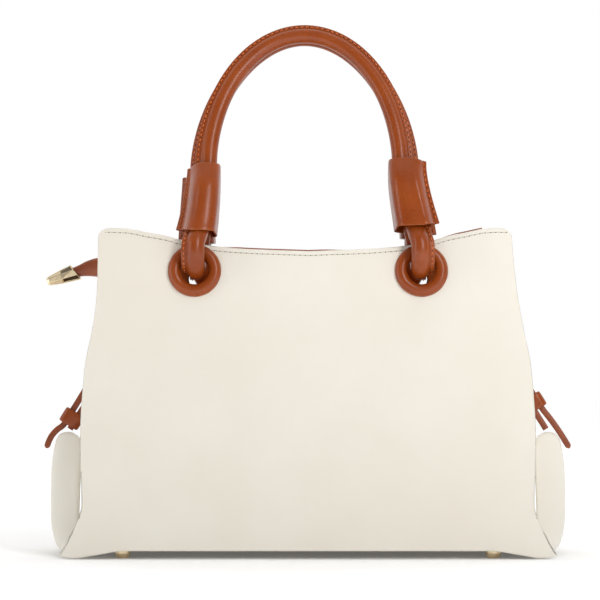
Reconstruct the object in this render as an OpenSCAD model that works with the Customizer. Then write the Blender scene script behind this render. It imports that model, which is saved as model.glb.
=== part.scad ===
// Structured handbag with rolled handles, tied side tongues and a recessed zip.
// Units are millimetres. X is the bag's width, Y its depth with the front at -Y,
// and Z is up. The origin lies on the floor under the middle of the bag.

/* [Body] */
// Width of the front and back panels at their widest
body_w = 304; // [290:1:320]
// Depth of the bag at its base
base_d = 130; // [120:1:140]
// Height of the panels' upper corners above the floor
corner_z = 222.2; // [214:0.2:230]
// Dip of the top edge at its middle, below the corners
top_dip = 15.9; // [10:0.1:20]
// Thickness of the outer panels
panel_t = 2.4; // [2:0.1:3]
// Thickness of the side gussets
gusset_t = 2; // [1.4:0.1:2.6]
// Inset of the gussets' seams from the panels' side edges
seam_inset = 2; // [1:0.2:4]
// Fold of the gussets inward at their middle, at the top
gusset_fold = 14; // [10:1:16]
// Thickness of the inner facing along the top edge
facing_t = 1.6; // [1:0.1:2.2]
// Reach of the inner facing below the zip
facing_below = 5; // [4:0.5:14]
// Thickness of the lining
lining_t = 1; // [0.6:0.1:1.4]

/* [Base] */
// Thickness of the base panel
base_t = 2.2; // [1.6:0.1:3]
// Thickness of the board on the base panel
board_t = 2; // [1:0.1:3]
// Overhang of the base past each side of the body
base_over = 1; // [0:0.2:3]
// Width of the tip to which each lower corner flares
flare_w = 10; // [6:1:12]
// Height of a foot
foot_h = 5.4; // [4:0.1:8]
// Radius of a foot where it meets the base
foot_r = 5.3; // [4:0.1:7]
// Radius of a foot's flat bottom
foot_bottom_r = 3.6; // [2.5:0.1:3.9]
// Inset of the feet from the sides of the body
foot_in_x = 28; // [22:1:40]
// Inset of the feet from the front and back of the base
foot_in_y = 15; // [13:1:22]
// Radius of the washers that hold the feet
washer_r = 7; // [6:0.5:9]
// Thickness of those washers
washer_t = 0.8; // [0.5:0.1:1]

/* [Rings] */
// Distance of the ring centres from the middle of the bag
ring_x = 76.6; // [72:0.1:80]
// Depth of the ring centres below the panels' upper corners
ring_below = 29.5; // [29.4:0.1:34]
// Outer radius of a ring
ring_r = 18; // [17:0.1:18.2]
// Radius of the hole in a ring
ring_hole_r = 9.6; // [9.4:0.1:10.2]
// Height of a ring above its panel
ring_proud = 4.2; // [3.6:0.1:4.4]
// Thickness of the backing ring
ring_back_t = 2; // [1.2:0.1:2.2]

/* [Handles] */
// Reach of a handle from its pivot to the crown of its arch
handle_reach = 158.8; // [140:0.2:180]
// Inset of the arch's legs from the ring centres
arch_in = 10.6; // [6:0.1:14]
// Radius of the rolled handle at its crown
crown_r = 5.1; // [4.6:0.1:6]
// Radius of the rolled handle at the foot of the arch
arch_r = 5.9; // [5:0.1:6.2]
// Radius of the rolled handle in its loops
loop_tube_r = 6.2; // [6:0.1:6.7]
// Clearance between the loops and the corners of the rings' stack
loop_clear = 0.9; // [0.8:0.1:1.3]
// Shift of the loops toward the middle of the bag
loop_shift = 1; // [0.8:0.1:2]
// Width of the stitched seam flange
flange_w = 3.2; // [1:0.1:3.4]
// Thickness of the stitched seam flange
flange_t = 2; // [1.2:0.1:2.6]
// Wall of the leather round the core
cover_t = 1.4; // [1:0.1:1.8]
// Spread of the back handle beyond the front one, on each side
back_spread = 7; // [0:0.5:10]
// Length of a sleeve
sleeve_l = 50; // [44:1:54]
// Clearance of the sleeves above the panels' top edge
sleeve_up = 6.4; // [5.6:0.1:8]
// How much higher the sleeves on the right sit
right_sleeve_up = 3.4; // [0:0.2:4]
// Wall of a sleeve
sleeve_t = 1.4; // [0.8:0.1:1.8]
// Width of a sleeve's stitched seam tab
sleeve_tab = 3; // [2:0.1:5]
// Extra width of the seam tab at the lower rim
sleeve_flare = 2.6; // [0:0.1:4]

/* [Zip] */
// Distance of the zip's leaves below the lowest points of the rings
zip_below = 0.4; // [0.2:0.1:3]
// Distance of the leaves' left ends from the gusset
leaf_in_left = 19; // [19:1:28]
// Distance of the leaves' right ends from the gusset
leaf_in_right = 31; // [29:1:40]
// Thickness of the leaves
leaf_t = 1.6; // [1.2:0.1:2]
// Half of the gap between the leaves
leaf_gap = 5.6; // [5.2:0.1:7]
// Width of each zip tape
tape_w = 9; // [7:0.5:12]
// Thickness of the zip tapes
tape_t = 0.6; // [0.4:0.1:0.8]
// Distance from one tooth to the next
tooth_pitch = 3.2; // [2.8:0.1:4]
// Height of the teeth
tooth_h = 2.2; // [1.8:0.1:2.6]
// Depth of the teeth across the zip
tooth_d = 2.4; // [2:0.1:2.6]
// Length of the slider
slider_l = 11; // [9:0.5:12]
// Width of the slider
slider_w = 8.6; // [7.6:0.1:9]
// Thickness of the slider's plates
slider_plate_t = 1.2; // [0.8:0.1:1.6]
// Length of the pull
pull_l = 22; // [16:1:24]
// Width of the pull
pull_w = 5.6; // [5:0.1:8]
// Radius of the pull's pin
pull_pin_r = 0.9; // [0.7:0.05:1]
// Length of the fixed chain past each end of the leaves
chain_end_l = 15; // [14:0.5:16]
// Gap between the zip's end pieces and the sides of the gussets' notches
end_side_gap = 1.4; // [1:0.1:3.4]

/* [Tail] */
// Reach of the tail's tip past the side of the body
tail_out = 30; // [24:1:38]
// Length of the metal cap
cap_l = 20; // [16:1:24]
// Height of the cap at its mouth
cap_h = 12.5; // [9:0.5:14]
// Width of the cap across the bag at its mouth
cap_w = 14; // [10:0.5:18]
// Wall of the cap
cap_t = 1; // [0.6:0.1:1.4]

/* [Tongues] */
// Height of the tongues
ear_h = 84; // [76:1:90]
// Reach of the tongues past the ends of the base
ear_out = 24.7; // [20:0.1:29]
// Gap between a tongue's root and each panel
ear_side_gap = 2.8; // [1:0.1:6]
// Inward cup of a tongue's front edge
ear_cup = 22; // [12:1:24]
// Share of that cup at its back edge, which lies more open
ear_back_cup = 0.45; // [0.3:0.05:1]
// Thickness of a tongue
ear_t = 3.6; // [2.4:0.2:4.4]

/* [Ties] */
// Half of a lace's width
lace_r = 2.1; // [1.8:0.1:2.4]
// Half of a lace's thickness
lace_half_t = 1.5; // [1:0.1:1.8]
// Distance between a lace's two strands in the bead
strand_gap = 5.4; // [5:0.1:6.4]
// Lean of the beads from upright
bead_lean = 32; // [24:1:36]
// Length of a bead along its lace
bead_l = 10.5; // [8:0.5:11]
// Wall of a bead
bead_t = 2.4; // [1.2:0.1:2.6]
// Place of the right bead at rest above the left one's, along the lace
right_bead_up = 13; // [0:0.5:14]
// Reach of the tails' tips past the tongues
lace_out = 4; // [2:1:10]
// Height of the keepers above the tongues' tops
keeper_above = 37; // [32:1:42]
// Wall of a keeper
keeper_t = 1.8; // [1.2:0.1:2]
// Height of a keeper
keeper_h = 2; // [1.4:0.1:2.4]
// Length of a keeper across the gusset
keeper_l = 18; // [14:1:24]

/* [Hidden] */

cream = [0.90, 0.87, 0.80];
tan_leather = [0.60, 0.30, 0.15];
gold = [0.85, 0.75, 0.55];
cloth = [0.75, 0.68, 0.58];

// Clearance between pieces that lie close together
lay_gap = 0.3;
// Clearance between a pin and its bore
pin_gap = 0.05;
// Clearance between a panel and the facing sewn to it
sew_gap = 0.15;
// Overrun of a cut past the face that it leaves
cut_over = 1;

// Shares of corner_z against shares of half the body's width
width_shares = [
  [0, 1.035], [0.06, 1.03], [0.11, 1.008], [0.16, 0.99], [0.38, 1],
  [0.57, 0.985], [0.69, 0.954], [0.82, 0.925], [1, 0.905]
];
// Shares of corner_z against shares of half the base's depth
depth_shares = [[0, 1], [0.2, 0.98], [0.45, 0.9], [0.72, 0.80], [1, 0.68]];
// Shares of half the top edge's width against shares of the dip
top_shares = [
  [0, 0], [0.33, 0.115], [0.57, 0.36], [0.69, 0.66], [0.77, 0.80], [0.88, 0.98], [0.945, 1],
  [0.975, 0.948], [0.99, 0.862], [1, 0.676]
];
// Shares of half the width against shares of the drop of the lower edge toward the floor
low_shares = [[0, 0], [0.77, 0], [0.88, 0.62], [0.945, 1], [0.975, 0.88], [1, 0.55]];
low_drop_share = 0.85;
// Shares of the half width at which a panel has its columns
column_shares = [0, 0.165, 0.33, 0.45, 0.57, 0.69, 0.77, 0.88, 0.945, 0.975, 0.99, 1];
// Shares of the height at which a panel has its rows
row_shares = [0, 0.03, 0.07, 0.11, 0.19, 0.3, 0.45, 0.58, 0.72, 0.86, 1];
// Shares of corner_z against shares of the gussets' fold
fold_shares = [[0, 0.62], [0.6, 0.62], [1, 1]];

function blend(a, b, t) = a + (b - a) * t;
function unit(v) = v / norm(v);
function reversed(v) = [for (i = [len(v) - 1:-1:0]) v[i]];
function both_sides(shares) = concat([for (s = reversed(shares)) -s], [for (s = shares) if (s > 0) s]);

function half_w(z) = body_w / 2 * lookup(z / corner_z, width_shares);
function half_d(z) = base_d / 2 * lookup(z / corner_z, depth_shares);
function top_z(s) = corner_z - top_dip * (1 - lookup(abs(s), top_shares));

ring_z = corner_z - ring_below;
arch_half_w = ring_x - arch_in;
zip_z = ring_z - ring_r - zip_below - leaf_t;
stack_t = panel_t + sew_gap + facing_t;
base_z = foot_h;
base_top_z = base_z + base_t;
board_top_z = base_top_z + board_t;
lining_z = board_top_z + washer_t + lay_gap;
panel_tilt = atan((half_d(corner_z * 0.8) - half_d(corner_z)) / (corner_z * 0.2));

// Extra half width of the flared tips, which fades out above the base
function flare(z) = flare_w * pow(max(1 - z / (5 * foot_h), 0), 2);
// Lower edge of a panel, which drops toward its tips
function panel_low_z(s) = base_z - foot_h * low_drop_share * lookup(abs(s), low_shares);

// Point on a panel, inset from its outer face, for shares of its width and height
function panel_point(s, t, inset) =
  let (z = blend(panel_low_z(s), top_z(s), t))
  [s * (half_w(z) + flare(z) * pow(abs(s), 6)), -half_d(z) + inset, z];

// Closed solid between two grids of points with the same rows and columns
module solid_between(outer, inner) {
  rows = len(outer);
  cols = len(outer[0]);
  count = rows * cols;
  function at(r, c) = r * cols + c;
  rim = concat(
    [for (c = [0:cols - 1]) at(0, c)],
    [for (r = [1:rows - 1]) at(r, cols - 1)],
    [for (c = [cols - 2:-1:0]) at(rows - 1, c)],
    [for (r = [rows - 2:-1:1]) at(r, 0)]
  );
  n = len(rim);
  polyhedron(
    points = concat([for (row = outer) each row], [for (row = inner) each row]),
    faces = concat(
      [for (r = [0:rows - 2], c = [0:cols - 2]) each [
        [at(r, c), at(r + 1, c), at(r + 1, c + 1)],
        [at(r, c), at(r + 1, c + 1), at(r, c + 1)]
      ]],
      [for (r = [0:rows - 2], c = [0:cols - 2]) each [
        [count + at(r, c), count + at(r + 1, c + 1), count + at(r + 1, c)],
        [count + at(r, c), count + at(r, c + 1), count + at(r + 1, c + 1)]
      ]],
      [for (i = [0:n - 1]) each [
        [rim[i], rim[(i + 1) % n], count + rim[(i + 1) % n]],
        [rim[i], count + rim[(i + 1) % n], count + rim[i]]
      ]]
    )
  );
}

// Skin through a list of rings, either capped at both ends or joined end to end
module loft(rings, closed = false) {
  n = len(rings[0]);
  m = len(rings);
  last = closed ? m - 1 : m - 2;
  function at(i, j) = (i % m) * n + j % n;
  sides = [for (i = [0:last], j = [0:n - 1]) each [
    [at(i, j), at(i + 1, j), at(i + 1, j + 1)],
    [at(i, j), at(i + 1, j + 1), at(i, j + 1)]
  ]];
  caps = closed ? [] : [[for (j = [0:n - 1]) j], [for (j = [n - 1:-1:0]) at(m - 1, j)]];
  polyhedron(points = [for (ring = rings) each ring], faces = concat(sides, caps));
}

// Copies of the children at the front and the back, or at all four corners
module front_and_back() {
  children();
  mirror([0, 1, 0]) children();
}
module four_corners() {
  front_and_back() {
    children();
    mirror([1, 0, 0]) children();
  }
}

// Places the children at a front right ring: origin on the panel's outer face,
// local Z out of the panel and local Y up along it
module at_ring() {
  translate([ring_x, -half_d(ring_z), ring_z])
  rotate([90 - panel_tilt, 0, 0])
  children();
}

// Panels and facings
panel_hole_r = ring_hole_r + ring_proud / 3;
module panel_sheet(inset, thick, low_share) {
  columns = both_sides(column_shares);
  rows = [for (t = row_shares) blend(low_share, 1, t)];
  difference() {
    solid_between(
      [for (t = rows) [for (s = columns) panel_point(s, t, inset)]],
      [for (t = rows) [for (s = columns) panel_point(s, t, inset + thick)]]
    );
    for (side = [0, 1])
      mirror([side, 0, 0])
      at_ring()
      translate([0, 0, -stack_t - cut_over])
      cylinder(r = panel_hole_r, h = stack_t + 2 * cut_over, $fn = 48);
  }
}
module front_panel() {
  color(cream) panel_sheet(0, panel_t, 0);
}
module back_panel() {
  color(cream) mirror([0, 1, 0]) panel_sheet(0, panel_t, 0);
}

facing_low_z = zip_z - facing_below;
facing_rows = [0, 0.5, 1];
facing_side = 0.86;
module facing_sheet() {
  columns = [for (s = both_sides(column_shares)) s * facing_side];
  function point(s, t, inset) =
    let (z = blend(facing_low_z, top_z(s), t))
    [s * half_w(z), -half_d(z) + inset, z];
  difference() {
    solid_between(
      [for (t = facing_rows) [for (s = columns) point(s, t, panel_t + sew_gap)]],
      [for (t = facing_rows) [for (s = columns) point(s, t, stack_t)]]
    );
    for (side = [0, 1])
      mirror([side, 0, 0])
      at_ring()
      translate([0, 0, -stack_t - cut_over])
      cylinder(r = panel_hole_r, h = stack_t + 2 * cut_over, $fn = 48);
  }
}
module front_facing() {
  color(tan_leather) facing_sheet();
}
module back_facing() {
  color(tan_leather) mirror([0, 1, 0]) facing_sheet();
}

// Gussets
gusset_level_shares = [0.08, 0.16, 0.3, 0.5, 0.7, 0.85];
gusset_column_shares = [-1, -0.75, -0.55, -0.3, 0, 0.3, 0.55, 0.75, 1];
gusset_low_z = base_top_z;
gusset_mid_z = zip_z - lay_gap;
gusset_levels = [for (t = gusset_level_shares) blend(gusset_low_z, gusset_mid_z, t)];
// Shares of the half depth against shares of the rise of a gusset's top edge,
// which is level under the zip's ends
notch_share = 0.3;
gusset_top_shares = [[0, 0], [notch_share, 0], [0.55, 0.3], [0.75, 0.62], [1, 1]];
function gusset_top_z(c) = blend(gusset_mid_z, top_z(1) - panel_t, lookup(abs(c), gusset_top_shares));
function gusset_half_d(z) = half_d(z) - panel_t;
end_half_w = notch_share * gusset_half_d(gusset_mid_z) - end_side_gap;
// Outer face of the right gusset at a height and at a share of its depth
function gusset_x(z, c) =
  half_w(z) - seam_inset - gusset_fold * lookup(z / corner_z, fold_shares) * (1 - c * c);
function gusset_grid(inset) = [
  for (i = [-1:len(gusset_levels)]) [
    for (c = gusset_column_shares)
    let (z = i < 0 ? gusset_low_z : i < len(gusset_levels) ? gusset_levels[i] : gusset_top_z(c))
    [gusset_x(z, c) - inset, c * (gusset_half_d(z) - sew_gap), z]
  ]
];
module right_gusset() {
  color(cream)
  solid_between(gusset_grid(0), gusset_grid(gusset_t));
}
module left_gusset() {
  mirror([1, 0, 0]) right_gusset();
}

// Base, board, feet and their washers
base_l = body_w + 2 * base_over;
base_half_d = half_d(base_top_z) - panel_t - lay_gap;
foot_x = body_w / 2 - foot_in_x;
foot_y = base_d / 2 - foot_in_y;
board_margin = 6;
prong_r = foot_bottom_r / 2;
module base_panel() {
  color(cream)
  translate([0, 0, base_z])
  linear_extrude(base_t)
  square([base_l, 2 * base_half_d], center = true);
}
board_half_l = gusset_x(base_top_z, 0) - gusset_t - board_margin;
module prong_holes(z, h) {
  four_corners()
  translate([foot_x, foot_y, z - cut_over])
  cylinder(r = prong_r + pin_gap, h = h + 2 * cut_over, $fn = 32);
}
module base_board() {
  color(cloth)
  difference() {
    translate([0, 0, base_top_z])
    linear_extrude(board_t)
    square([2 * board_half_l, 2 * (base_half_d - board_margin)], center = true);
    prong_holes(base_top_z, board_t);
  }
}
module foot() {
  rotate_extrude($fn = 48)
  polygon([
    [0, 0], [foot_bottom_r, 0], [blend(foot_bottom_r, foot_r, 0.7), foot_h * 0.25],
    [foot_r, foot_h * 0.6], [foot_r, foot_h], [0, foot_h]
  ]);
}
module base_feet() {
  color(gold)
  four_corners()
  translate([foot_x, foot_y, 0])
  foot();
}
module foot_washers() {
  color(gold)
  four_corners()
  translate([foot_x, foot_y, board_top_z])
  cylinder(r = washer_r, h = washer_t, $fn = 32);
}

// Lining: a cup of cloth inside the panels, up to the facings
lining_gap = 2.5 * lay_gap;
lining_top_z = facing_low_z - lay_gap;
function lining_ring(z, inset) =
  let (
    y = half_d(z) - panel_t - lining_gap - inset,
    side = [for (c = gusset_column_shares) [gusset_x(z, c) - gusset_t - lining_gap - inset, y * c]]
  )
  concat(
    [for (p = reversed(side)) [-p[0], p[1], z]],
    [for (p = side) [p[0], p[1], z]]
  );
module lining() {
  color(cloth)
  loft(concat(
    [for (z = concat([lining_z], gusset_levels, [lining_top_z])) lining_ring(z, 0)],
    [for (z = concat([lining_top_z], reversed(gusset_levels), [lining_z + lining_t]))
      lining_ring(z, lining_t)]
  ));
}

// Rings: a domed ring on the outer face and a flat one behind the facing
ring_tube_r = (ring_r - ring_hole_r) / 2;
ring_major_r = ring_hole_r + ring_tube_r;
module ring() {
  color(tan_leather)
  at_ring()
  rotate_extrude($fn = 72)
  intersection() {
    translate([ring_major_r, ring_proud - ring_tube_r])
    circle(r = ring_tube_r, $fn = 48);
    square([2 * ring_r, 2 * ring_r]);
  }
}
module front_right_ring() {
  ring();
}
module front_left_ring() {
  mirror([1, 0, 0]) ring();
}
module back_right_ring() {
  mirror([0, 1, 0]) ring();
}
module back_left_ring() {
  mirror([0, 1, 0]) mirror([1, 0, 0]) ring();
}
ring_back_margin = 0.5;
module ring_backs() {
  color(tan_leather)
  four_corners()
  at_ring()
  translate([0, 0, -stack_t - ring_back_t])
  difference() {
    cylinder(r = ring_r - ring_back_margin, h = ring_back_t, $fn = 64);
    translate([0, 0, -cut_over])
    cylinder(r = ring_hole_r + ring_back_margin, h = ring_back_t + 2 * cut_over, $fn = 64);
  }
}

// Handles. Each is drawn in its own plane: X as in the bag, Z along the handle
// from its pivot and Y across it, and is then leaned inward about the pivot.
pivot_in = (stack_t + ring_back_t - ring_proud) / 2;
pivot_y = -half_d(ring_z) + ring_major_r * sin(panel_tilt) + pivot_in * cos(panel_tilt);
pivot_z = ring_z + ring_major_r * cos(panel_tilt) - pivot_in * sin(panel_tilt);
crown_y = crown_r + lay_gap / 2 + flange_t * 0.05;
handle_lean = asin((-pivot_y - crown_y) / handle_reach);
stack_corner = [ring_tube_r - ring_back_margin, (stack_t + ring_back_t + ring_proud) / 2];
loop_r = norm(stack_corner) + loop_clear + loop_tube_r;
loop_x = ring_x - loop_shift;
sleeve_start = top_z(ring_x / half_w(corner_z)) - pivot_z + sleeve_up;
arch_foot_share = 0.94;
arch_foot = sleeve_start + sleeve_l * arch_foot_share;
arch_rise = handle_reach - arch_foot;
arc_half = 120;
arch_steps = 10;
arc_steps = 9;

module in_handle_plane() {
  translate([0, pivot_y, pivot_z])
  rotate([-handle_lean, 0, 0])
  children();
}

function spread_at(v, spread) = spread * sin(180 * pow(max(v, 0) / handle_reach, 0.72));
function strand_x(v, spread) =
  arch_half_w + (loop_x - arch_half_w) * pow(max(1 - max(v, 0) / arch_foot, 0), 1.5)
  + spread_at(v, spread);
// Shares of arch_foot against shares of the loop's radius, for the strand that
// becomes the arch and for the strand that ends inside the sleeve
strand_end_share = 0.66;
strand_y_shares = [[0.225, 0.64], [0.34, 0.53], [0.56, 0.51], [0.7, 0.42], [0.86, 0.18], [1, 0]];
end_y_shares = [[0.225, 0.64], [0.34, 0.53], [strand_end_share, 0.53]];

// Centre line of the right half of a handle, from its crown to its hidden end
function half_line(spread) = concat(
  [for (i = [0:arch_steps])
    let (a = 90 - 90 * i / arch_steps, v = arch_foot + arch_rise * sin(a))
    [arch_half_w * cos(a) + spread_at(v, spread), 0, v]],
  [for (p = reversed(strand_y_shares)) if (p[0] < 1)
    [strand_x(p[0] * arch_foot, spread), -p[1] * loop_r, p[0] * arch_foot]],
  [for (i = [0:arc_steps])
    let (a = arc_half - 2 * arc_half * i / arc_steps, v = -loop_r * cos(a))
    [strand_x(v, spread), -loop_r * sin(a), v]],
  [for (p = end_y_shares)
    [strand_x(p[0] * arch_foot, spread), p[1] * loop_r, p[0] * arch_foot]]
);
function full_line(spread) =
  let (half = half_line(spread))
  concat([for (i = [len(half) - 1:-1:1]) [-half[i][0], half[i][1], half[i][2]]], half);

// Radius of the rolled leather at a point of the centre line
function roll_r(p) = p[2] > arch_foot
  ? blend(arch_r, crown_r, (p[2] - arch_foot) / arch_rise)
  : blend(loop_tube_r, arch_r, max(p[2], 0) / arch_foot);
// Direction in which the seam flange stands out at a point
function seam_dir(p) = unit([
  p[0] / pow(arch_half_w, 2), 0, max(p[2] - arch_foot, 0) / pow(arch_rise, 2)
]);

// Outline of the rolled leather with its flange, and of a plain round inside it
roll_angles = [20, 55, 90, 125, 162, 198, 235, 270, 305, 340];
function roll_outline(r) = concat(
  [[r + flange_w, -flange_t / 2], [r + flange_w, flange_t / 2]],
  [for (a = roll_angles) [r * cos(a), r * sin(a)]]
);
function round_outline(r, sides) =
  [for (i = [0:sides - 1]) let (a = (i - 0.5) * 360 / sides) [r * cos(a), r * sin(a)]];

function ring_at(line, i, outline) =
  let (
    p = line[i],
    along = unit(line[min(i + 1, len(line) - 1)] - line[max(i - 1, 0)]),
    lean = seam_dir(p),
    out = unit(lean - (lean * along) * along),
    side = cross(along, out)
  )
  [for (q = outline) p + q[0] * out + q[1] * side];

core_r_gap = 0.15;
module rolled_handle(spread) {
  line = full_line(spread);
  outer = [for (i = [0:len(line) - 1]) ring_at(line, i, roll_outline(roll_r(line[i])))];
  inner = [for (i = [0:len(line) - 1])
    ring_at(line, i, round_outline(roll_r(line[i]) - cover_t, 12))];
  in_handle_plane()
  loft(concat(outer, reversed(inner)), closed = true);
}
module handle_core(spread) {
  line = full_line(spread);
  in_handle_plane()
  loft([for (i = [0:len(line) - 1])
    ring_at(line, i, round_outline(roll_r(line[i]) - cover_t - core_r_gap - crown_r * 0.04, 6))]);
}
module front_handle() {
  color(tan_leather) rolled_handle(0);
}
module back_handle() {
  color(tan_leather) mirror([0, 1, 0]) rolled_handle(back_spread);
}
module front_handle_core() {
  color(cloth) handle_core(0);
}
module back_handle_core() {
  color(cloth) mirror([0, 1, 0]) handle_core(back_spread);
}

// Sleeves: a band round both strands, drawn together into a seam tab outside
sleeve_arc_step = 30;
sleeve_in_r = (loop_tube_r + 2 * lay_gap) / cos(sleeve_arc_step / 2);
sleeve_out_x = loop_tube_r + flange_w + 2 * lay_gap;
sleeve_low_y = loop_r * 0.79 + loop_tube_r * 1.14 + lay_gap;
sleeve_high_y = arch_r + lay_gap + loop_r * 0.2;
sleeve_depth_shares = [[0, 1], [0.12, 0.86], [0.35, 0.8], [0.62, 0.78], [1, 0]];
sleeve_ring_shares = [0, 0.12, 0.35, 0.62, 0.82, 1];
// Shares by which the lower and the upper rim are levelled against the handle's lean
low_level_share = 0.75;
high_level_share = 0.5;
// Outline of the sleeve's hollow, or of its outside with a wall and a tab
function sleeve_outline(half_y, wall, tab) = concat(
  [[sleeve_out_x * 0.6, -(half_y * 0.94 + wall)],
   [sleeve_out_x, -(half_y * 0.66 + wall)],
   [sleeve_out_x + wall + tab, -wall],
   [sleeve_out_x + wall + tab, wall],
   [sleeve_out_x, half_y * 0.66 + wall],
   [sleeve_out_x * 0.6, half_y * 0.94 + wall]],
  [for (side = [1, -1])
    for (a = side > 0 ? [90:sleeve_arc_step:180] : [180:sleeve_arc_step:270])
      [(sleeve_in_r + wall) * cos(a), side * (half_y - sleeve_in_r) + (sleeve_in_r + wall) * sin(a)]]
);
module sleeve(spread, up) {
  function ring_of(share, wall, tab) =
    let (
      v = sleeve_start + up + sleeve_l * share,
      half_y = blend(sleeve_high_y, sleeve_low_y, lookup(share, sleeve_depth_shares)),
      level = tan(handle_lean) * blend(low_level_share, high_level_share, share)
    )
    [for (q = sleeve_outline(half_y, wall, tab))
      let (w = v + q[1] * level) [strand_x(w, spread) + q[0], q[1], w]];
  in_handle_plane()
  loft(concat(
    [for (s = sleeve_ring_shares) ring_of(s, sleeve_t, sleeve_tab + sleeve_flare * (1 - s))],
    [for (s = reversed(sleeve_ring_shares)) ring_of(s, 0, lay_gap)]
  ), closed = true);
}
module front_right_sleeve() {
  color(tan_leather) sleeve(0, right_sleeve_up);
}
module front_left_sleeve() {
  color(tan_leather) mirror([1, 0, 0]) sleeve(0, 0);
}
module back_right_sleeve() {
  color(tan_leather) mirror([0, 1, 0]) sleeve(back_spread, right_sleeve_up);
}
module back_left_sleeve() {
  color(tan_leather) mirror([1, 0, 0]) mirror([0, 1, 0]) sleeve(back_spread, 0);
}

// Zip. The leaves turn about hinge lines beside the facings.
teeth_gap = 0.6;
hinge_y = half_d(zip_z + leaf_t) - stack_t - leaf_t / 2 - lay_gap;
hinge_z = zip_z + leaf_t / 2;
end_seat_x = gusset_x(gusset_mid_z, 0);
leaf_left = end_seat_x - leaf_in_left;
leaf_right = end_seat_x - leaf_in_right;
leaf_l = leaf_left + leaf_right;
teeth_low_z = zip_z - tape_t / 2 - tooth_h / 2;
bead_w = 0.8;

module front_zip_leaf() {
  color(tan_leather) {
    translate([-leaf_left, -hinge_y, zip_z])
    cube([leaf_l, hinge_y - leaf_gap, leaf_t]);
    translate([-leaf_left, -hinge_y, hinge_z])
    rotate([0, 90, 0])
    cylinder(r = leaf_t / 2, h = leaf_l, $fn = 24);
  }
}
module back_zip_leaf() {
  mirror([0, 1, 0]) front_zip_leaf();
}
// A run of tape on the front side of the zip, from one X to another
module tape(from, to) {
  translate([from, -teeth_gap - bead_w - tape_w, zip_z - tape_t])
  cube([to - from, tape_w, tape_t]);
}
module front_zip_tape() {
  color(cloth) tape(-leaf_left, leaf_right);
}
module back_zip_tape() {
  mirror([0, 1, 0]) front_zip_tape();
}
// A comb of teeth on the front edge of the zip, from one X to another
module teeth(from, to) {
  count = floor((to - from) / tooth_pitch);
  tooth_w = tooth_pitch * 0.55;
  translate([0, 0, teeth_low_z])
  linear_extrude(tooth_h)
  difference() {
    translate([from, -teeth_gap - tooth_d])
    square([to - from, tooth_d]);
    for (i = [0:count - 1])
      translate([from + (i + 0.5) * tooth_pitch - (tooth_pitch - tooth_w) / 2, -teeth_gap - tooth_d + bead_w])
      square([tooth_pitch - tooth_w, tooth_d]);
  }
}
module trimmed_teeth(from, to) {
  difference() {
    teeth(from, to);
    tape(from - cut_over, to + cut_over);
  }
}
module front_zip_teeth() {
  color(gold) trimmed_teeth(-leaf_left, leaf_right);
}
module back_zip_teeth() {
  mirror([0, 1, 0]) front_zip_teeth();
}

chain_left_x = -leaf_left - lay_gap - chain_end_l;
chain_right_x = leaf_right + lay_gap + chain_end_l;
module zip_chain_ends() {
  color(gold)
  front_and_back() {
    trimmed_teeth(chain_left_x, -leaf_left - lay_gap);
    trimmed_teeth(leaf_right + lay_gap, chain_right_x);
  }
  color(cloth)
  front_and_back() {
    tape(chain_left_x, -leaf_left - lay_gap);
    tape(leaf_right + lay_gap, chain_right_x);
  }
}
// Flat piece of leather on the right with a slot for the chain, open toward the middle
module slotted_end(inner_x, slot_x, outer_x) {
  translate([0, 0, zip_z])
  linear_extrude(leaf_t)
  difference() {
    translate([inner_x, -end_half_w])
    square([outer_x - inner_x, 2 * end_half_w]);
    translate([inner_x - cut_over, -leaf_gap])
    square([slot_x - inner_x + cut_over, 2 * leaf_gap]);
  }
}
module zip_end_tab() {
  color(tan_leather)
  slotted_end(leaf_right + lay_gap, chain_right_x, end_seat_x);
}

// Slider and pull
slider_park = 1;
slider_x = leaf_right + lay_gap + slider_park + slider_l / 2;
plate_gap = tooth_h / 2 + lay_gap;
chain_mid_z = teeth_low_z + tooth_h / 2;
lug_t = 1.6;
lug_h = 2.6;
lug_l = 4.4;
pull_t = 1.2;
plate_top_z = chain_mid_z + plate_gap + slider_plate_t;
pull_pin_z = plate_top_z + lug_h - 1.6 * pull_pin_r;
pull_pin_x = slider_x + slider_l / 2 - lug_l / 2;
web_half = teeth_gap / 2;
module slider_plate(z) {
  nose = slider_l * 0.28;
  translate([slider_x, 0, z])
  linear_extrude(slider_plate_t)
  polygon([
    [-slider_l / 2, -slider_w * 0.34], [-slider_l / 2 + nose, -slider_w / 2],
    [slider_l / 2 - nose, -slider_w / 2], [slider_l / 2, -slider_w * 0.4],
    [slider_l / 2, slider_w * 0.4], [slider_l / 2 - nose, slider_w / 2],
    [-slider_l / 2 + nose, slider_w / 2], [-slider_l / 2, slider_w * 0.34]
  ]);
}
module zip_slider() {
  color(gold) {
    slider_plate(chain_mid_z + plate_gap);
    slider_plate(chain_mid_z - plate_gap - slider_plate_t);
    translate([slider_x - slider_l * 0.4, -web_half, chain_mid_z - plate_gap])
    cube([slider_l / 3, 2 * web_half, 2 * plate_gap]);
    difference() {
      translate([pull_pin_x - lug_l / 2, -lug_t / 2, plate_top_z])
      cube([lug_l, lug_t, lug_h]);
      translate([pull_pin_x, lug_t / 2 + cut_over, pull_pin_z])
      rotate([90, 0, 0])
      cylinder(r = pull_pin_r + pin_gap, h = lug_t + 2 * cut_over, $fn = 32);
    }
  }
}
pull_fork_l = lug_l * 0.8;
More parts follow.
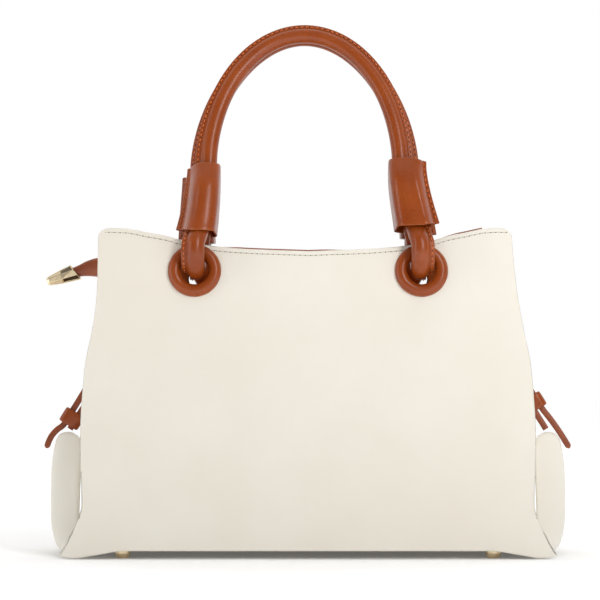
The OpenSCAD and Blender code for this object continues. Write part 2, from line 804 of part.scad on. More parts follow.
module zip_pull() {
  cheek_t = (pull_w - lug_t) / 2 - lay_gap;
  color(gold) {
    translate([pull_pin_x, pull_w / 2, pull_pin_z])
    rotate([90, 0, 0])
    cylinder(r = pull_pin_r, h = pull_w, $fn = 32);
    for (side = [0, 1])
      mirror([0, side, 0])
      translate([pull_pin_x, lug_t / 2 + lay_gap, pull_pin_z - pull_t / 2])
      cube([pull_fork_l, cheek_t, pull_t]);
    translate([pull_pin_x + pull_fork_l, -pull_w / 2, pull_pin_z - pull_t / 2])
    cube([pull_l - pull_fork_l - pull_w / 2, pull_w, pull_t]);
    translate([pull_pin_x + pull_l - pull_w / 2, 0, pull_pin_z - pull_t / 2])
    cylinder(r = pull_w / 2, h = pull_t, $fn = 32);
  }
}

// Section of a flat strap that runs in the XZ plane, at point i of its line, slanted along it
function strap_ring(line, i, half_a, half_y, sides, slant = 0) =
  let (
    along = unit(line[min(i + 1, len(line) - 1)] - line[max(i - 1, 0)]),
    out = cross([0, 1, 0], along)
  )
  [for (k = [0:sides - 1]) let (a = (k + 0.5) * 360 / sides)
    line[i] + half_a * cos(a) * (out - slant * along) + half_y * sin(a) * [0, 1, 0]];

// Tail: the zip's slotted left end, drawn together and turned up over the gusset
tail_start_x = end_seat_x - leaf_t;
tail_in_cap = 5;
tail_rise = 24.8;
tail_half_t = cap_h * 0.56;
tail_tip_half_w = cap_w * 0.31;
tail_tip_x = body_w / 2 + tail_out;
cap_mouth_x = tail_tip_x - cap_l;
// Shares of the tail's length, its rise, its half thickness and its narrowing to the cap
tail_shares = [
  [0, 0, 0.11, 0], [0.094, 0.057, 0.15, 0.05], [0.17, 0.262, 0.24, 0.13], [0.235, 0.565, 0.4, 0.24],
  [0.332, 0.827, 0.72, 0.38], [0.47, 0.988, 1, 0.55], [0.62, 0.964, 0.86, 0.72],
  [0.785, 0.9, 0.62, 0.88], [1, 0.81, 0.4, 1]
];
tail_end_x = cap_mouth_x + tail_in_cap;
tail_line = [for (s = tail_shares)
  [blend(tail_start_x, tail_end_x, s[0]), 0, zip_z + leaf_t / 2 + tail_rise * s[1]]];
module zip_tail() {
  color(tan_leather)
  mirror([1, 0, 0]) {
    slotted_end(leaf_left + lay_gap, -chain_left_x, tail_start_x + leaf_t);
    loft([for (i = [0:len(tail_line) - 1])
      strap_ring(tail_line, i, tail_half_t * tail_shares[i][2],
        blend(end_half_w, tail_tip_half_w, tail_shares[i][3]), 12)]);
  }
}

// Cap: a bevelled metal shell, closed at its tip
cap_drop = cap_l * 0.33;
cap_slant = 0.36;
cap_mouth_z = zip_z + leaf_t / 2 + tail_rise * 0.85;
cap_line = [for (s = [1, 0.93, 0.5, 0])
  [cap_mouth_x + cap_l * s, 0, cap_mouth_z - cap_drop * s]];
cap_shares = [0.4, 0.54, 0.8, 1];
cap_inner_shares = [0.58, 0.8, 1];
module zip_tail_cap() {
  n = len(cap_line);
  inner_line = [for (s = [0.82, 0.5, 0]) [cap_mouth_x + cap_l * s, 0, cap_mouth_z - cap_drop * s]];
  outer = [for (i = [0:n - 1])
    strap_ring(cap_line, i, cap_h / 2 * cap_shares[i], cap_w / 2 * cap_shares[i], 8,
      i == n - 1 ? cap_slant : 0)];
  inner = [for (i = [0:2])
    strap_ring(inner_line, i, cap_h / 2 * cap_inner_shares[i] - cap_t,
      cap_w / 2 * cap_inner_shares[i] - cap_t, 8, i == 2 ? cap_slant : 0)];
  color(gold)
  mirror([1, 0, 0])
  loft(concat(outer, reversed(inner)));
}

// Tongues: shares of the reach past the base, the height, the half width and the cup
ear_shares = [
  [0, 0.055, 1, 0], [0.35, 0.04, 1, 0.06], [0.70, 0.054, 0.98, 0.28], [0.88, 0.143, 0.90, 0.7],
  [0.98, 0.286, 0.80, 1], [1, 0.476, 0.70, 1], [1, 0.655, 0.60, 1], [0.96, 0.81, 0.48, 0.97],
  [0.89, 0.925, 0.36, 0.86], [0.77, 0.985, 0.27, 0.6], [0.5, 1, 0.2, 0.3]
];
ear_columns = [-1, -0.93, -0.8, -0.6, -0.3, 0, 0.3, 0.6, 0.8, 0.93, 1];
ear_root_x = base_l / 2 + lay_gap;
ear_half_w = base_half_d - ear_side_gap;
ear_line = [for (s = ear_shares)
  [ear_root_x + ear_out * s[0], 0, ear_h * s[1]]];
function ear_point(i, c, inset) =
  let (
    along = unit(ear_line[min(i + 1, len(ear_line) - 1)] - ear_line[max(i - 1, 0)]),
    out = cross([0, 1, 0], along),
    thick = ear_t * (1 - 0.6 * pow(abs(c), 4)),
    cup = ear_cup * ear_shares[i][3] * (c > 0 ? ear_back_cup : 1)
  )
  ear_line[i] - [cup * pow(abs(c), 3), 0, 0]
    + [0, c * ear_half_w * ear_shares[i][2], 0]
    - inset * thick * out;
module right_ear() {
  color(cream)
  solid_between(
    [for (i = [0:len(ear_line) - 1]) [for (c = ear_columns) ear_point(i, c, 0)]],
    [for (i = [0:len(ear_line) - 1]) [for (c = ear_columns) ear_point(i, c, 1)]]
  );
}
module left_ear() {
  mirror([1, 0, 0]) right_ear();
}

// Ties on the right: the lace leaves the tongue's top, runs up through the bead,
// turns round the keeper and comes back down through the bead to a free tail
bead_up = [-sin(bead_lean), 0, cos(bead_lean)];
bead_out = [cos(bead_lean), 0, sin(bead_lean)];
bead_stand = 1.6;
ear_top = blend(ear_point(len(ear_line) - 2, 0, 0), ear_point(len(ear_line) - 1, 0, 0), 0.85);
end_lift = lace_r * 0.7 + lay_gap;
bead_at = ear_top + strand_gap / 2 * bead_out + (bead_l / 2 + bead_stand + end_lift) * bead_up;
bead_travel = 6;
straight_up = bead_l / 2 + right_bead_up + bead_travel + 2 * lay_gap;
straight_down = bead_l / 2 + bead_stand;
turn_r = lace_r + norm([keeper_t, keeper_h]) / 2 + lay_gap;
keeper_z = ear_h + keeper_above;
keeper_at = [gusset_x(keeper_z, 0) + 2 * lay_gap + lace_r + turn_r, 0, keeper_z];
lace_tip_z = bead_at[2] - 1.95 * bead_l;
lace_tip = [ear_root_x + ear_out + lace_out, 0, lace_tip_z];
function strand(side, up) = bead_at + side * strand_gap / 2 * bead_out + up * bead_up;
// Point of the free tail, which bulges away from the tongue between the bead and its tip
function tail_point(t) =
  let (top = strand(1, -straight_down), along = unit(lace_tip - top))
  blend(top, lace_tip, t) + lace_r * sin(180 * t) * cross(along, [0, 1, 0]);
lace_line = concat(
  [for (t = [1, 0.75, 0.5, 0.25, 0]) tail_point(t)],
  [strand(1, 0), strand(1, straight_up)],
  [for (a = [40:23:224]) keeper_at + turn_r * [cos(a), 0, sin(a)]],
  [strand(-1, straight_up), strand(-1, 0), strand(-1, -straight_down)]
);
module right_lace() {
  color(tan_leather)
  loft([for (i = [0:len(lace_line) - 1]) strap_ring(lace_line, i, lace_r, lace_half_t, 8)]);
}
module left_lace() {
  mirror([1, 0, 0]) right_lace();
}
module stadium(half_l, half_w) {
  square([2 * (half_l - half_w), 2 * half_w], center = true);
  for (side = [-1, 1])
    translate([side * (half_l - half_w), 0])
    circle(r = half_w, $fn = 32);
}
module bead() {
  hole_l = strand_gap / 2 + lace_r + lay_gap;
  hole_w = lace_half_t + lay_gap;
  color(tan_leather)
  translate(bead_at)
  rotate([0, -bead_lean, 0])
  translate([0, 0, -bead_l / 2])
  linear_extrude(bead_l)
  difference() {
    stadium(hole_l + bead_t, hole_w + bead_t);
    stadium(hole_l, hole_w);
  }
}
module right_bead() {
  translate(right_bead_up * bead_up) bead();
}
module left_bead() {
  mirror([1, 0, 0]) bead();
}
module right_keeper() {
  seat_x = gusset_x(keeper_z - keeper_h / 2, keeper_l / 2 / gusset_half_d(keeper_z)) + lay_gap;
  bar_x = keeper_at[0] + keeper_t / 2;
  color(tan_leather)
  translate([0, 0, keeper_z - keeper_h / 2])
  linear_extrude(keeper_h)
  difference() {
    translate([seat_x, -keeper_l / 2])
    square([bar_x - seat_x, keeper_l]);
    translate([seat_x - cut_over, keeper_t - keeper_l / 2])
    square([bar_x - keeper_t - seat_x + cut_over, keeper_l - 2 * keeper_t]);
  }
}
module left_keeper() {
  mirror([1, 0, 0]) right_keeper();
}

front_panel();
back_panel();
left_gusset();
right_gusset();
base_panel();
base_board();
base_feet();
foot_washers();
lining();
front_facing();
back_facing();
front_left_ring();
front_right_ring();
back_left_ring();
back_right_ring();
ring_backs();
front_handle();
back_handle();
front_handle_core();
back_handle_core();
front_left_sleeve();
front_right_sleeve();
back_left_sleeve();
back_right_sleeve();
front_zip_leaf();
back_zip_leaf();
front_zip_tape();
back_zip_tape();
front_zip_teeth();
back_zip_teeth();
zip_end_tab();
zip_chain_ends();
zip_slider();
zip_pull();
zip_tail();
zip_tail_cap();
left_ear();
right_ear();
left_lace();
right_lace();
left_bead();
right_bead();
left_keeper();
right_keeper();
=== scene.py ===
"""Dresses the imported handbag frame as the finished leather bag.

The sizes held by the classes are millimetres in the frame's own axes: X along the bag, Y from
the front to the back, Z up from the floor. Meshes are written in metres.
"""

import logging
import math
from dataclasses import dataclass, field
from enum import Enum
from typing import Callable, Sequence

import bmesh
import bpy
import numpy as np
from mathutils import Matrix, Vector


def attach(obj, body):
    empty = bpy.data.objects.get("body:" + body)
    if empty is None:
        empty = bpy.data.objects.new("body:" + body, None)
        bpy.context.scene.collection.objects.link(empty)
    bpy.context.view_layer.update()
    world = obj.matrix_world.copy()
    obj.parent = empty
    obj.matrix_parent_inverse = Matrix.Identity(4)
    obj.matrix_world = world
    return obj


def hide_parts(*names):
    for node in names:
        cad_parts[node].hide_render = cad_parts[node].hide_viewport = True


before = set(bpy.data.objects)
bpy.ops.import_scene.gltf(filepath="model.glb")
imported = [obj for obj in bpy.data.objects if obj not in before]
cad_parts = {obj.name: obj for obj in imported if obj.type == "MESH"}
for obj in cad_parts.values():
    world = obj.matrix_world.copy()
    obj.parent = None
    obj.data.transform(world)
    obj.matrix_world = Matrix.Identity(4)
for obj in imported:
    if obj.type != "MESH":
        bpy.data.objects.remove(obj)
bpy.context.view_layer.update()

LOG = logging.getLogger("handbag")
MM = 0.001
LEAN = 4.2
LEAN_Z = (150, 225)
LEAN_X = (74, 136)
WAVE_TURN = 6.28
Table = Sequence[tuple[float, float]]
Faces = list[tuple[int, ...]]


class Side(Enum):
    """The two large faces of the bag, with their direction along Y."""

    FRONT = -1
    BACK = 1


class End(Enum):
    """The two narrow ends of the bag, with their direction along X."""

    LEFT = -1
    RIGHT = 1


# ---------------------------------------------------------------- shapes of lines and sheets


def eased(x: np.ndarray | float, table: Table) -> np.ndarray:
    """Reads a table with a smooth curve that never overshoots its points.

    Args:
        x: Places to read.
        table: Pairs of place and value, with rising places.

    Returns:
        The values at x, held level past both ends of the table.
    """
    px = np.array([p[0] for p in table], float)
    py = np.array([p[1] for p in table], float)
    step = np.diff(px)
    slope = np.diff(py) / step
    tangent = np.zeros(len(px))
    for i in range(1, len(px) - 1):
        a, b = slope[i - 1], slope[i]
        tangent[i] = 0.0 if a * b <= 0 else 2 * a * b / (a + b)
    tangent[0], tangent[-1] = slope[0], slope[-1]
    x = np.clip(np.asarray(x, float), px[0], px[-1])
    i = np.clip(np.searchsorted(px, x, side="right") - 1, 0, len(step) - 1)
    t = (x - px[i]) / step[i]
    low = (2 * t**3 - 3 * t**2 + 1) * py[i] + (t**3 - 2 * t**2 + t) * step[i] * tangent[i]
    high = (-2 * t**3 + 3 * t**2) * py[i + 1] + (t**3 - t**2) * step[i] * tangent[i + 1]
    return low + high


def fade(x: np.ndarray | float, start: float, end: float) -> np.ndarray:
    """Rises smoothly from 0 at start to 1 at end."""
    t = np.clip((np.asarray(x, float) - start) / (end - start), 0, 1)
    return t * t * (3 - 2 * t)


def unit(v: np.ndarray) -> np.ndarray:
    """Scales vectors along the last axis to length one."""
    return v / np.maximum(np.linalg.norm(v, axis=-1, keepdims=True), 1e-9)


def smooth_path(points: Sequence[Sequence[float]], steps: int, closed: bool = False) -> np.ndarray:
    """Draws a smooth curve through points.

    Args:
        points: The points to pass through.
        steps: Pieces into which each stretch between two points is cut.
        closed: Whether the curve returns to its start.

    Returns:
        The curve's points, without a repeated first point where it is closed.
    """
    p = np.asarray(points, float)
    n = len(p)
    out = []
    for i in range(n if closed else n - 1):
        if closed:
            a, b, c, d = p[(i - 1) % n], p[i], p[(i + 1) % n], p[(i + 2) % n]
        else:
            b, c = p[i], p[i + 1]
            a = p[i - 1] if i > 0 else 2 * b - c
            d = p[i + 2] if i + 2 < n else 2 * c - b
        for t in np.arange(steps) / steps:
            out.append(0.5 * (2 * b + (c - a) * t + (2 * a - 5 * b + 4 * c - d) * t**2
                              + (3 * b - a - 3 * c + d) * t**3))
    if not closed:
        out.append(p[-1])
    return np.array(out)


def run_of(path: np.ndarray) -> np.ndarray:
    """Measures the length of a curve up to each of its points."""
    return np.concatenate([[0], np.cumsum(np.linalg.norm(np.diff(path, axis=0), axis=1))])


def even_path(path: np.ndarray, pitch: float) -> tuple[np.ndarray, np.ndarray]:
    """Walks a curve in even steps.

    Args:
        path: The curve's points.
        pitch: Length of a step.

    Returns:
        The places of the steps as lengths along the curve, and the lengths of its own points.
    """
    run = run_of(path)
    count = max(int(run[-1] // pitch), 1)
    return (np.arange(count) + 0.5) * run[-1] / count, run


def along_path(path: np.ndarray, run: np.ndarray, at: np.ndarray) -> np.ndarray:
    """Interpolates the rows of path at lengths along a curve."""
    return np.stack([np.interp(at, run, path[:, k]) for k in range(path.shape[1])], axis=1)


def ring_at(p: np.ndarray, q: np.ndarray, a: np.ndarray, b: np.ndarray) -> np.ndarray:
    """Lays a flat section's points round a point, along two directions."""
    return p + np.outer(q[:, 0], a) + np.outer(q[:, 1], b)


def grid_of(rows: int, cols: int) -> tuple[np.ndarray, np.ndarray]:
    """Numbers the points of a grid, and lists the four corners of each of its cells."""
    at = np.arange(rows * cols).reshape(rows, cols)
    return at, np.stack([at[:-1, :-1], at[:-1, 1:], at[1:, 1:], at[1:, :-1]], -1).reshape(-1, 4)


@dataclass
class Solid:
    """A closed mesh in millimetres."""

    points: np.ndarray
    faces: Faces

    def mirrored(self, flip_x: bool, flip_y: bool) -> "Solid":
        """Mirrors the solid across the bag's middle planes.

        Args:
            flip_x: Whether left and right change places.
            flip_y: Whether front and back change places.

        Returns:
            The mirrored solid, with its faces still turned outward.
        """
        points = self.points * np.array([-1 if flip_x else 1, -1 if flip_y else 1, 1])
        faces = self.faces if flip_x == flip_y else [tuple(reversed(f)) for f in self.faces]
        return Solid(points, faces)

    def leant(self) -> "Solid":
        """Lets the left upper corner of the bag's body lean outward, as the leather settled."""
        x, z = self.points[:, 0], self.points[:, 2]
        points = self.points.copy()
        points[:, 0] -= LEAN * fade(z, *LEAN_Z) * fade(-x, *LEAN_X)
        return Solid(points, self.faces)

    @staticmethod
    def joined(solids: Sequence["Solid"]) -> "Solid":
        """Puts several solids into one mesh."""
        points, faces, start = [], [], 0
        for solid in solids:
            points.append(solid.points)
            faces += [tuple(i + start for i in f) for f in solid.faces]
            start += len(solid.points)
        return Solid(np.concatenate(points), faces)


def lofted(rings: Sequence[np.ndarray], closed: bool = False) -> Solid:
    """Skins a row of rings with the same number of points.

    Args:
        rings: The rings, counter-clockwise when seen against the direction of travel.
        closed: Whether the last ring joins the first. Otherwise both ends are capped.

    Returns:
        The closed solid.
    """
    n, m = len(rings[0]), len(rings)
    faces: Faces = []
    for i in range(m if closed else m - 1):
        a, b = i * n, (i + 1) % m * n
        faces += [(a + j, b + j, b + (j + 1) % n, a + (j + 1) % n) for j in range(n)]
    if not closed:
        faces.append(tuple(range(n)))
        faces.append(tuple((m - 1) * n + j for j in reversed(range(n))))
    return Solid(np.concatenate([np.asarray(r, float) for r in rings]), faces)


def thick_sheet(outer: np.ndarray, thickness: np.ndarray | float, rim_steps: int = 4) -> Solid:
    """Gives a sheet its thickness, with a rounded rim all round.

    Args:
        outer: Grid of points of the outer face, rows up and columns to the right as seen from
            outside.
        thickness: Thickness in millimetres, one value or one for each point.
        rim_steps: Facets round the rim.

    Returns:
        The closed sheet, whose rim lies on the border of the given grid.
    """
    rows, cols = outer.shape[:2]
    thick = np.broadcast_to(np.asarray(thickness, float), (rows, cols)).copy()
    right, up = np.gradient(outer, axis=1), np.gradient(outer, axis=0)
    normal = unit(np.cross(right, up))
    away = np.zeros_like(outer)
    away[:, 0] -= unit(right[:, 0])
    away[:, -1] += unit(right[:, -1])
    away[0] -= unit(up[0])
    away[-1] += unit(up[-1])
    away = unit(away)
    border = np.zeros((rows, cols, 1))
    border[:, [0, -1]] = 1
    border[[0, -1]] = 1
    half = thick[..., None] / 2
    face = outer - border * away * half
    inner = face - normal * 2 * half
    count = rows * cols
    at, quads = grid_of(rows, cols)
    loop = np.concatenate([at[0], at[1:, -1], at[-1, -2::-1], at[-2:0:-1, 0]])
    faces: Faces = [tuple(q) for q in quads.tolist()]
    faces += [tuple(q[::-1]) for q in (quads + count).tolist()]
    points = [face.reshape(-1, 3), inner.reshape(-1, 3)]
    n = len(loop)
    loops = [loop]
    middle, wide, ahead, aside = (a.reshape(count, -1)[loop]
                                  for a in (face - normal * half, half, normal, away))
    for k in range(1, rim_steps):
        turn = math.pi * k / rim_steps
        points.append(middle + wide * (math.cos(turn) * ahead + math.sin(turn) * aside))
        loops.append(2 * count + (k - 1) * n + np.arange(n))
    loops.append(loop + count)
    for a, b in zip(loops, loops[1:]):
        faces += [(a[i], b[i], b[(i + 1) % n], a[(i + 1) % n]) for i in range(n)]
    return Solid(np.concatenate(points), [tuple(int(i) for i in f) for f in faces])


def rounded_bar(half_a: float, half_b: float, sides: int = 20, power: float = 0.6) -> np.ndarray:
    """Draws a rounded rectangle as a ring of points.

    Args:
        half_a: Half of its size along the first axis.
        half_b: Half of its size along the second axis.
        sides: Number of points.
        power: 1 gives an ellipse, and smaller values squarer corners.

    Returns:
        The ring's points as pairs.
    """
    a = (np.arange(sides) + 0.5) * 2 * math.pi / sides
    c, s = np.cos(a), np.sin(a)
    return np.stack([half_a * np.sign(c) * np.abs(c)**power,
                     half_b * np.sign(s) * np.abs(s)**power], 1)


def lathed(profile: Sequence[tuple[float, float]], segments: int) -> Solid:
    """Turns a closed outline of radius and height round the Z axis.

    Args:
        profile: The outline, with its inside on the left.
        segments: Facets in one turn.

    Returns:
        The turned solid round the origin.
    """
    p = np.array(profile, float)
    rings = []
    for i in range(segments):
        a = -2 * math.pi * i / segments
        rings.append(np.stack([p[:, 0] * math.cos(a), p[:, 0] * math.sin(a), p[:, 1]], 1))
    return lofted(rings, closed=True)


# ------------------------------------------------------------------------------- finishes


class Nodes:
    """Lays out the nodes of one material around its Principled shader."""

    def __init__(self, name: str) -> None:
        """Starts an empty material of that name."""
        self.material = bpy.data.materials.new(name)
        self.material.use_nodes = True
        self.tree = self.material.node_tree
        self.shader = next(n for n in self.tree.nodes if n.type == "BSDF_PRINCIPLED")
        self.place = self.tree.nodes.new("ShaderNodeTexCoord").outputs["Object"]

    def add(self, kind: str, **sockets: object) -> bpy.types.Node:
        """Adds a node.

        Args:
            kind: Blender's name of the node type.
            **sockets: Input names, with spaces as underscores, and a value or an output to link.

        Returns:
            The new node.
        """
        node = self.tree.nodes.new(kind)
        for key, value in sockets.items():
            self.put(node.inputs[key.replace("_", " ")], value)
        return node

    def put(self, socket: bpy.types.NodeSocket, value: object) -> None:
        """Links an output to a socket or sets its value, where a colour of three is opaque."""
        if isinstance(value, bpy.types.NodeSocket):
            self.tree.links.new(value, socket)
        else:
            socket.default_value = (*value, 1.0) if socket.type == "RGBA" else value

    def shade(self, **sockets: object) -> None:
        """Links or sets inputs of the shader, named with underscores for spaces."""
        for key, value in sockets.items():
            self.put(self.shader.inputs[key.replace("_", " ")], value)

    def wave(self, direction: str, scale: float, distortion: float) -> bpy.types.NodeSocket:
        """Returns soft bands that follow each other in a direction."""
        node = self.add("ShaderNodeTexWave", Vector=self.place, Scale=scale,
                        Distortion=distortion)
        node.bands_direction = direction
        return node.outputs["Fac"]

    def noise(self, size_mm: float, detail: float = 3.0) -> bpy.types.NodeSocket:
        """Returns cloudy noise whose features are about that size."""
        return self.add("ShaderNodeTexNoise", Vector=self.place, Scale=1000 / size_mm,
                        Detail=detail, Roughness=0.55).outputs["Fac"]

    def spread(self, value: bpy.types.NodeSocket, low: float, high: float,
               start: float = 0.3, end: float = 0.7) -> bpy.types.NodeSocket:
        """Maps a value from start..end to low..high."""
        node = self.add("ShaderNodeMapRange", Value=value, From_Min=start, From_Max=end,
                        To_Min=low, To_Max=high)
        return node.outputs["Result"]

    def mixed(self, amount: object, a: object, b: object) -> bpy.types.NodeSocket:
        """Returns a colour between a and b."""
        node = self.tree.nodes.new("ShaderNodeMix")
        node.data_type = "RGBA"
        self.put(node.inputs[0], amount)
        self.put(node.inputs[6], a)
        self.put(node.inputs[7], b)
        return node.outputs[2]

    def sum_of(self, a: object, b: object, how: str = "ADD") -> bpy.types.NodeSocket:
        """Returns a sum, a product or another simple result of two values."""
        node = self.tree.nodes.new("ShaderNodeMath")
        node.operation = how
        self.put(node.inputs[0], a)
        self.put(node.inputs[1], b)
        return node.outputs[0]

    def bumped(self, height: bpy.types.NodeSocket, depth_mm: float, strength: float = 1.0) -> None:
        """Gives the shader a bump of that depth."""
        node = self.add("ShaderNodeBump", Height=height, Distance=depth_mm * MM, Strength=strength)
        self.shade(Normal=node.outputs["Normal"])


@dataclass(frozen=True)
class Leather:
    """Smooth leather with fine pores, soft clouds of colour and paler worn edges."""

    name: str
    colour: tuple[float, float, float]
    cloud: tuple[float, float, float]
    worn: tuple[float, float, float]
    roughness: float
    coat: float
    pore_mm: float
    pore_depth_mm: float
    cloud_mm: float = 55.0
    wear: float = 0.5

    def material(self) -> bpy.types.Material:
        """Builds the finish and returns its material."""
        n = Nodes(self.name)
        clouds = n.spread(n.noise(self.cloud_mm, 4.0), 0.0, 1.0, 0.32, 0.68)
        colour = n.mixed(clouds, self.colour, self.cloud)
        edge = n.add("ShaderNodeNewGeometry").outputs["Pointiness"]
        scuffs = n.sum_of(n.spread(edge, 0.0, self.wear, 0.52, 0.6),
                          n.spread(n.noise(6.0, 2.0), 0.3, 1.0), "MULTIPLY")
        rough = n.spread(n.noise(9.0, 3.0), self.roughness - 0.05, self.roughness + 0.06)
        n.shade(Base_Color=n.mixed(scuffs, colour, self.worn), Roughness=rough,
                Specular_IOR_Level=0.4, Coat_Weight=self.coat, Coat_Roughness=0.3)
        pores = n.add("ShaderNodeTexVoronoi", Vector=n.place, Scale=1000 / self.pore_mm)
        height = n.sum_of(n.spread(pores.outputs["Distance"], 0.0, 1.0, 0.0, 0.5),
                          n.sum_of(n.noise(self.pore_mm * 4, 4.0), 1.2, "MULTIPLY"))
        n.bumped(height, self.pore_depth_mm)
        return n.material


@dataclass(frozen=True)
class Metal:
    """Plated metal with a faint haze and hairline scratches."""

    name: str
    colour: tuple[float, float, float]
    roughness: float

    def material(self) -> bpy.types.Material:
        """Builds the finish and returns its material."""
        n = Nodes(self.name)
        haze = n.spread(n.noise(3.0, 3.0), 0.0, 1.0)
        shade = tuple(c * 0.86 for c in self.colour)
        rough = n.spread(n.noise(1.2, 4.0), self.roughness - 0.05, self.roughness + 0.08)
        n.shade(Base_Color=n.mixed(haze, self.colour, shade), Metallic=1.0, Roughness=rough)
        stretch = n.add("ShaderNodeMapping", Vector=n.place, Scale=(1.0, 1.0, 14.0))
        lines = n.add("ShaderNodeTexNoise", Vector=stretch.outputs["Vector"], Scale=420.0)
        n.bumped(lines.outputs["Fac"], 0.02, 0.35)
        return n.material


@dataclass(frozen=True)
class Cloth:
    """Plain woven cloth with crossing threads."""

    name: str
    colour: tuple[float, float, float]
    shade: tuple[float, float, float]
    thread_mm: float
    roughness: float = 0.85

    def material(self) -> bpy.types.Material:
        """Builds the finish and returns its material."""
        n = Nodes(self.name)
        bands = [n.wave(axis, 1000 / self.thread_mm / WAVE_TURN, 0.6) for axis in "XZY"]
        weave = n.sum_of(n.sum_of(bands[0], bands[1], "MULTIPLY"), bands[2], "MULTIPLY")
        colour = n.mixed(n.spread(weave, 0.0, 1.0, 0.0, 0.6), self.shade, self.colour)
        rough = n.spread(weave, self.roughness + 0.08, self.roughness - 0.06, 0.0, 1.0)
        n.shade(Base_Color=n.mixed(n.spread(n.noise(24.0), 0.0, 0.35), colour, self.shade),
                Roughness=rough, Sheen_Weight=0.25, Sheen_Roughness=0.5)
        n.bumped(weave, 0.12)
        return n.material


@dataclass(frozen=True)
class Thread:
    """Waxed sewing thread with a visible twist, also used for the dark painted shade of needle
    holes.
    """

    name: str
    colour: tuple[float, float, float]
    shade: tuple[float, float, float]

    def material(self) -> bpy.types.Material:
        """Builds the finish and returns its material."""
        n = Nodes(self.name)
        twist = n.wave("DIAGONAL", 420.0, 1.0)
        n.shade(Base_Color=n.mixed(n.spread(twist, 0.0, 1.0), self.colour, self.shade),
                Roughness=n.spread(n.noise(1.0), 0.45, 0.6))
        n.bumped(twist, 0.08)
        return n.material


@dataclass(frozen=True)
class Studio:
    """Plain pale stage paint that glows more the further it lies from the bag, in metres."""

    name: str
    colour: tuple[float, float, float]
    glow: float
    near: float = 0.16
    far: float = 0.7
    near_share: float = 0.1

    def material(self) -> bpy.types.Material:
        """Builds the finish and returns its material."""
        n = Nodes(self.name)
        away = n.tree.nodes.new("ShaderNodeVectorMath")
        away.operation = "LENGTH"
        n.put(away.inputs[0], n.place)
        glow = n.spread(away.outputs["Value"], self.glow * self.near_share, self.glow,
                        self.near, self.far)
        n.shade(Base_Color=self.colour, Roughness=n.spread(n.noise(200.0), 0.85, 0.95),
                Specular_IOR_Level=0.1, Emission_Color=self.colour, Emission_Strength=glow)
        return n.material


CREAM = Leather("cream_leather_finish", (0.83, 0.79, 0.70), (0.80, 0.75, 0.655),
                (0.88, 0.85, 0.78), 0.47, 0.05, 0.55, 0.012, 70.0, 0.35)
TAN = Leather("tan_leather_finish", (0.31, 0.060, 0.006), (0.245, 0.042, 0.004),
              (0.41, 0.11, 0.025), 0.31, 0.05, 0.5, 0.012, 26.0, 0.5)
TAN_STRAP = Leather("tan_strap_finish", (0.30, 0.072, 0.022), (0.22, 0.048, 0.014),
                    (0.42, 0.13, 0.05), 0.42, 0.08, 0.45, 0.015, 12.0, 0.7)
GOLD = Metal("pale_gold_finish", (0.86, 0.70, 0.46), 0.2)
SMOKED_GOLD = Metal("smoked_gold_finish", (0.20, 0.155, 0.10), 0.16)
LINING_CLOTH = Cloth("lining_cloth_finish", (0.60, 0.50, 0.38), (0.48, 0.39, 0.29), 0.5)
TAPE_CLOTH = Cloth("zip_tape_finish", (0.26, 0.11, 0.05), (0.17, 0.07, 0.03), 0.4)
BOARD = Cloth("stiff_board_finish", (0.50, 0.45, 0.37), (0.42, 0.37, 0.30), 1.2)
CREAM_THREAD = Thread("cream_thread_finish", (0.70, 0.66, 0.55), (0.52, 0.48, 0.38))
TAN_THREAD = Thread("tan_thread_finish", (0.74, 0.19, 0.045), (0.58, 0.13, 0.03))
# The needle holes' dark finishes are painted shade: they stand for the shade inside the holes.
NEEDLE_HOLE_SHADE_CREAM = Thread("needle_hole_shade_cream_finish", (0.23, 0.21, 0.16), (0.16, 0.15, 0.11))
NEEDLE_HOLE_SHADE_TAN = Thread("needle_hole_shade_tan_finish", (0.10, 0.016, 0.006), (0.06, 0.010, 0.004))
PAPER = Studio("studio_paper_finish", (0.96, 0.96, 0.96), 0.5)

# Each leather's thread, and the painted shade of its needle holes.
SEWING = {"cream_leather": (CREAM_THREAD, NEEDLE_HOLE_SHADE_CREAM),
          "tan_leather": (TAN_THREAD, NEEDLE_HOLE_SHADE_TAN)}

Finish = Leather | Metal | Cloth | Thread | Studio


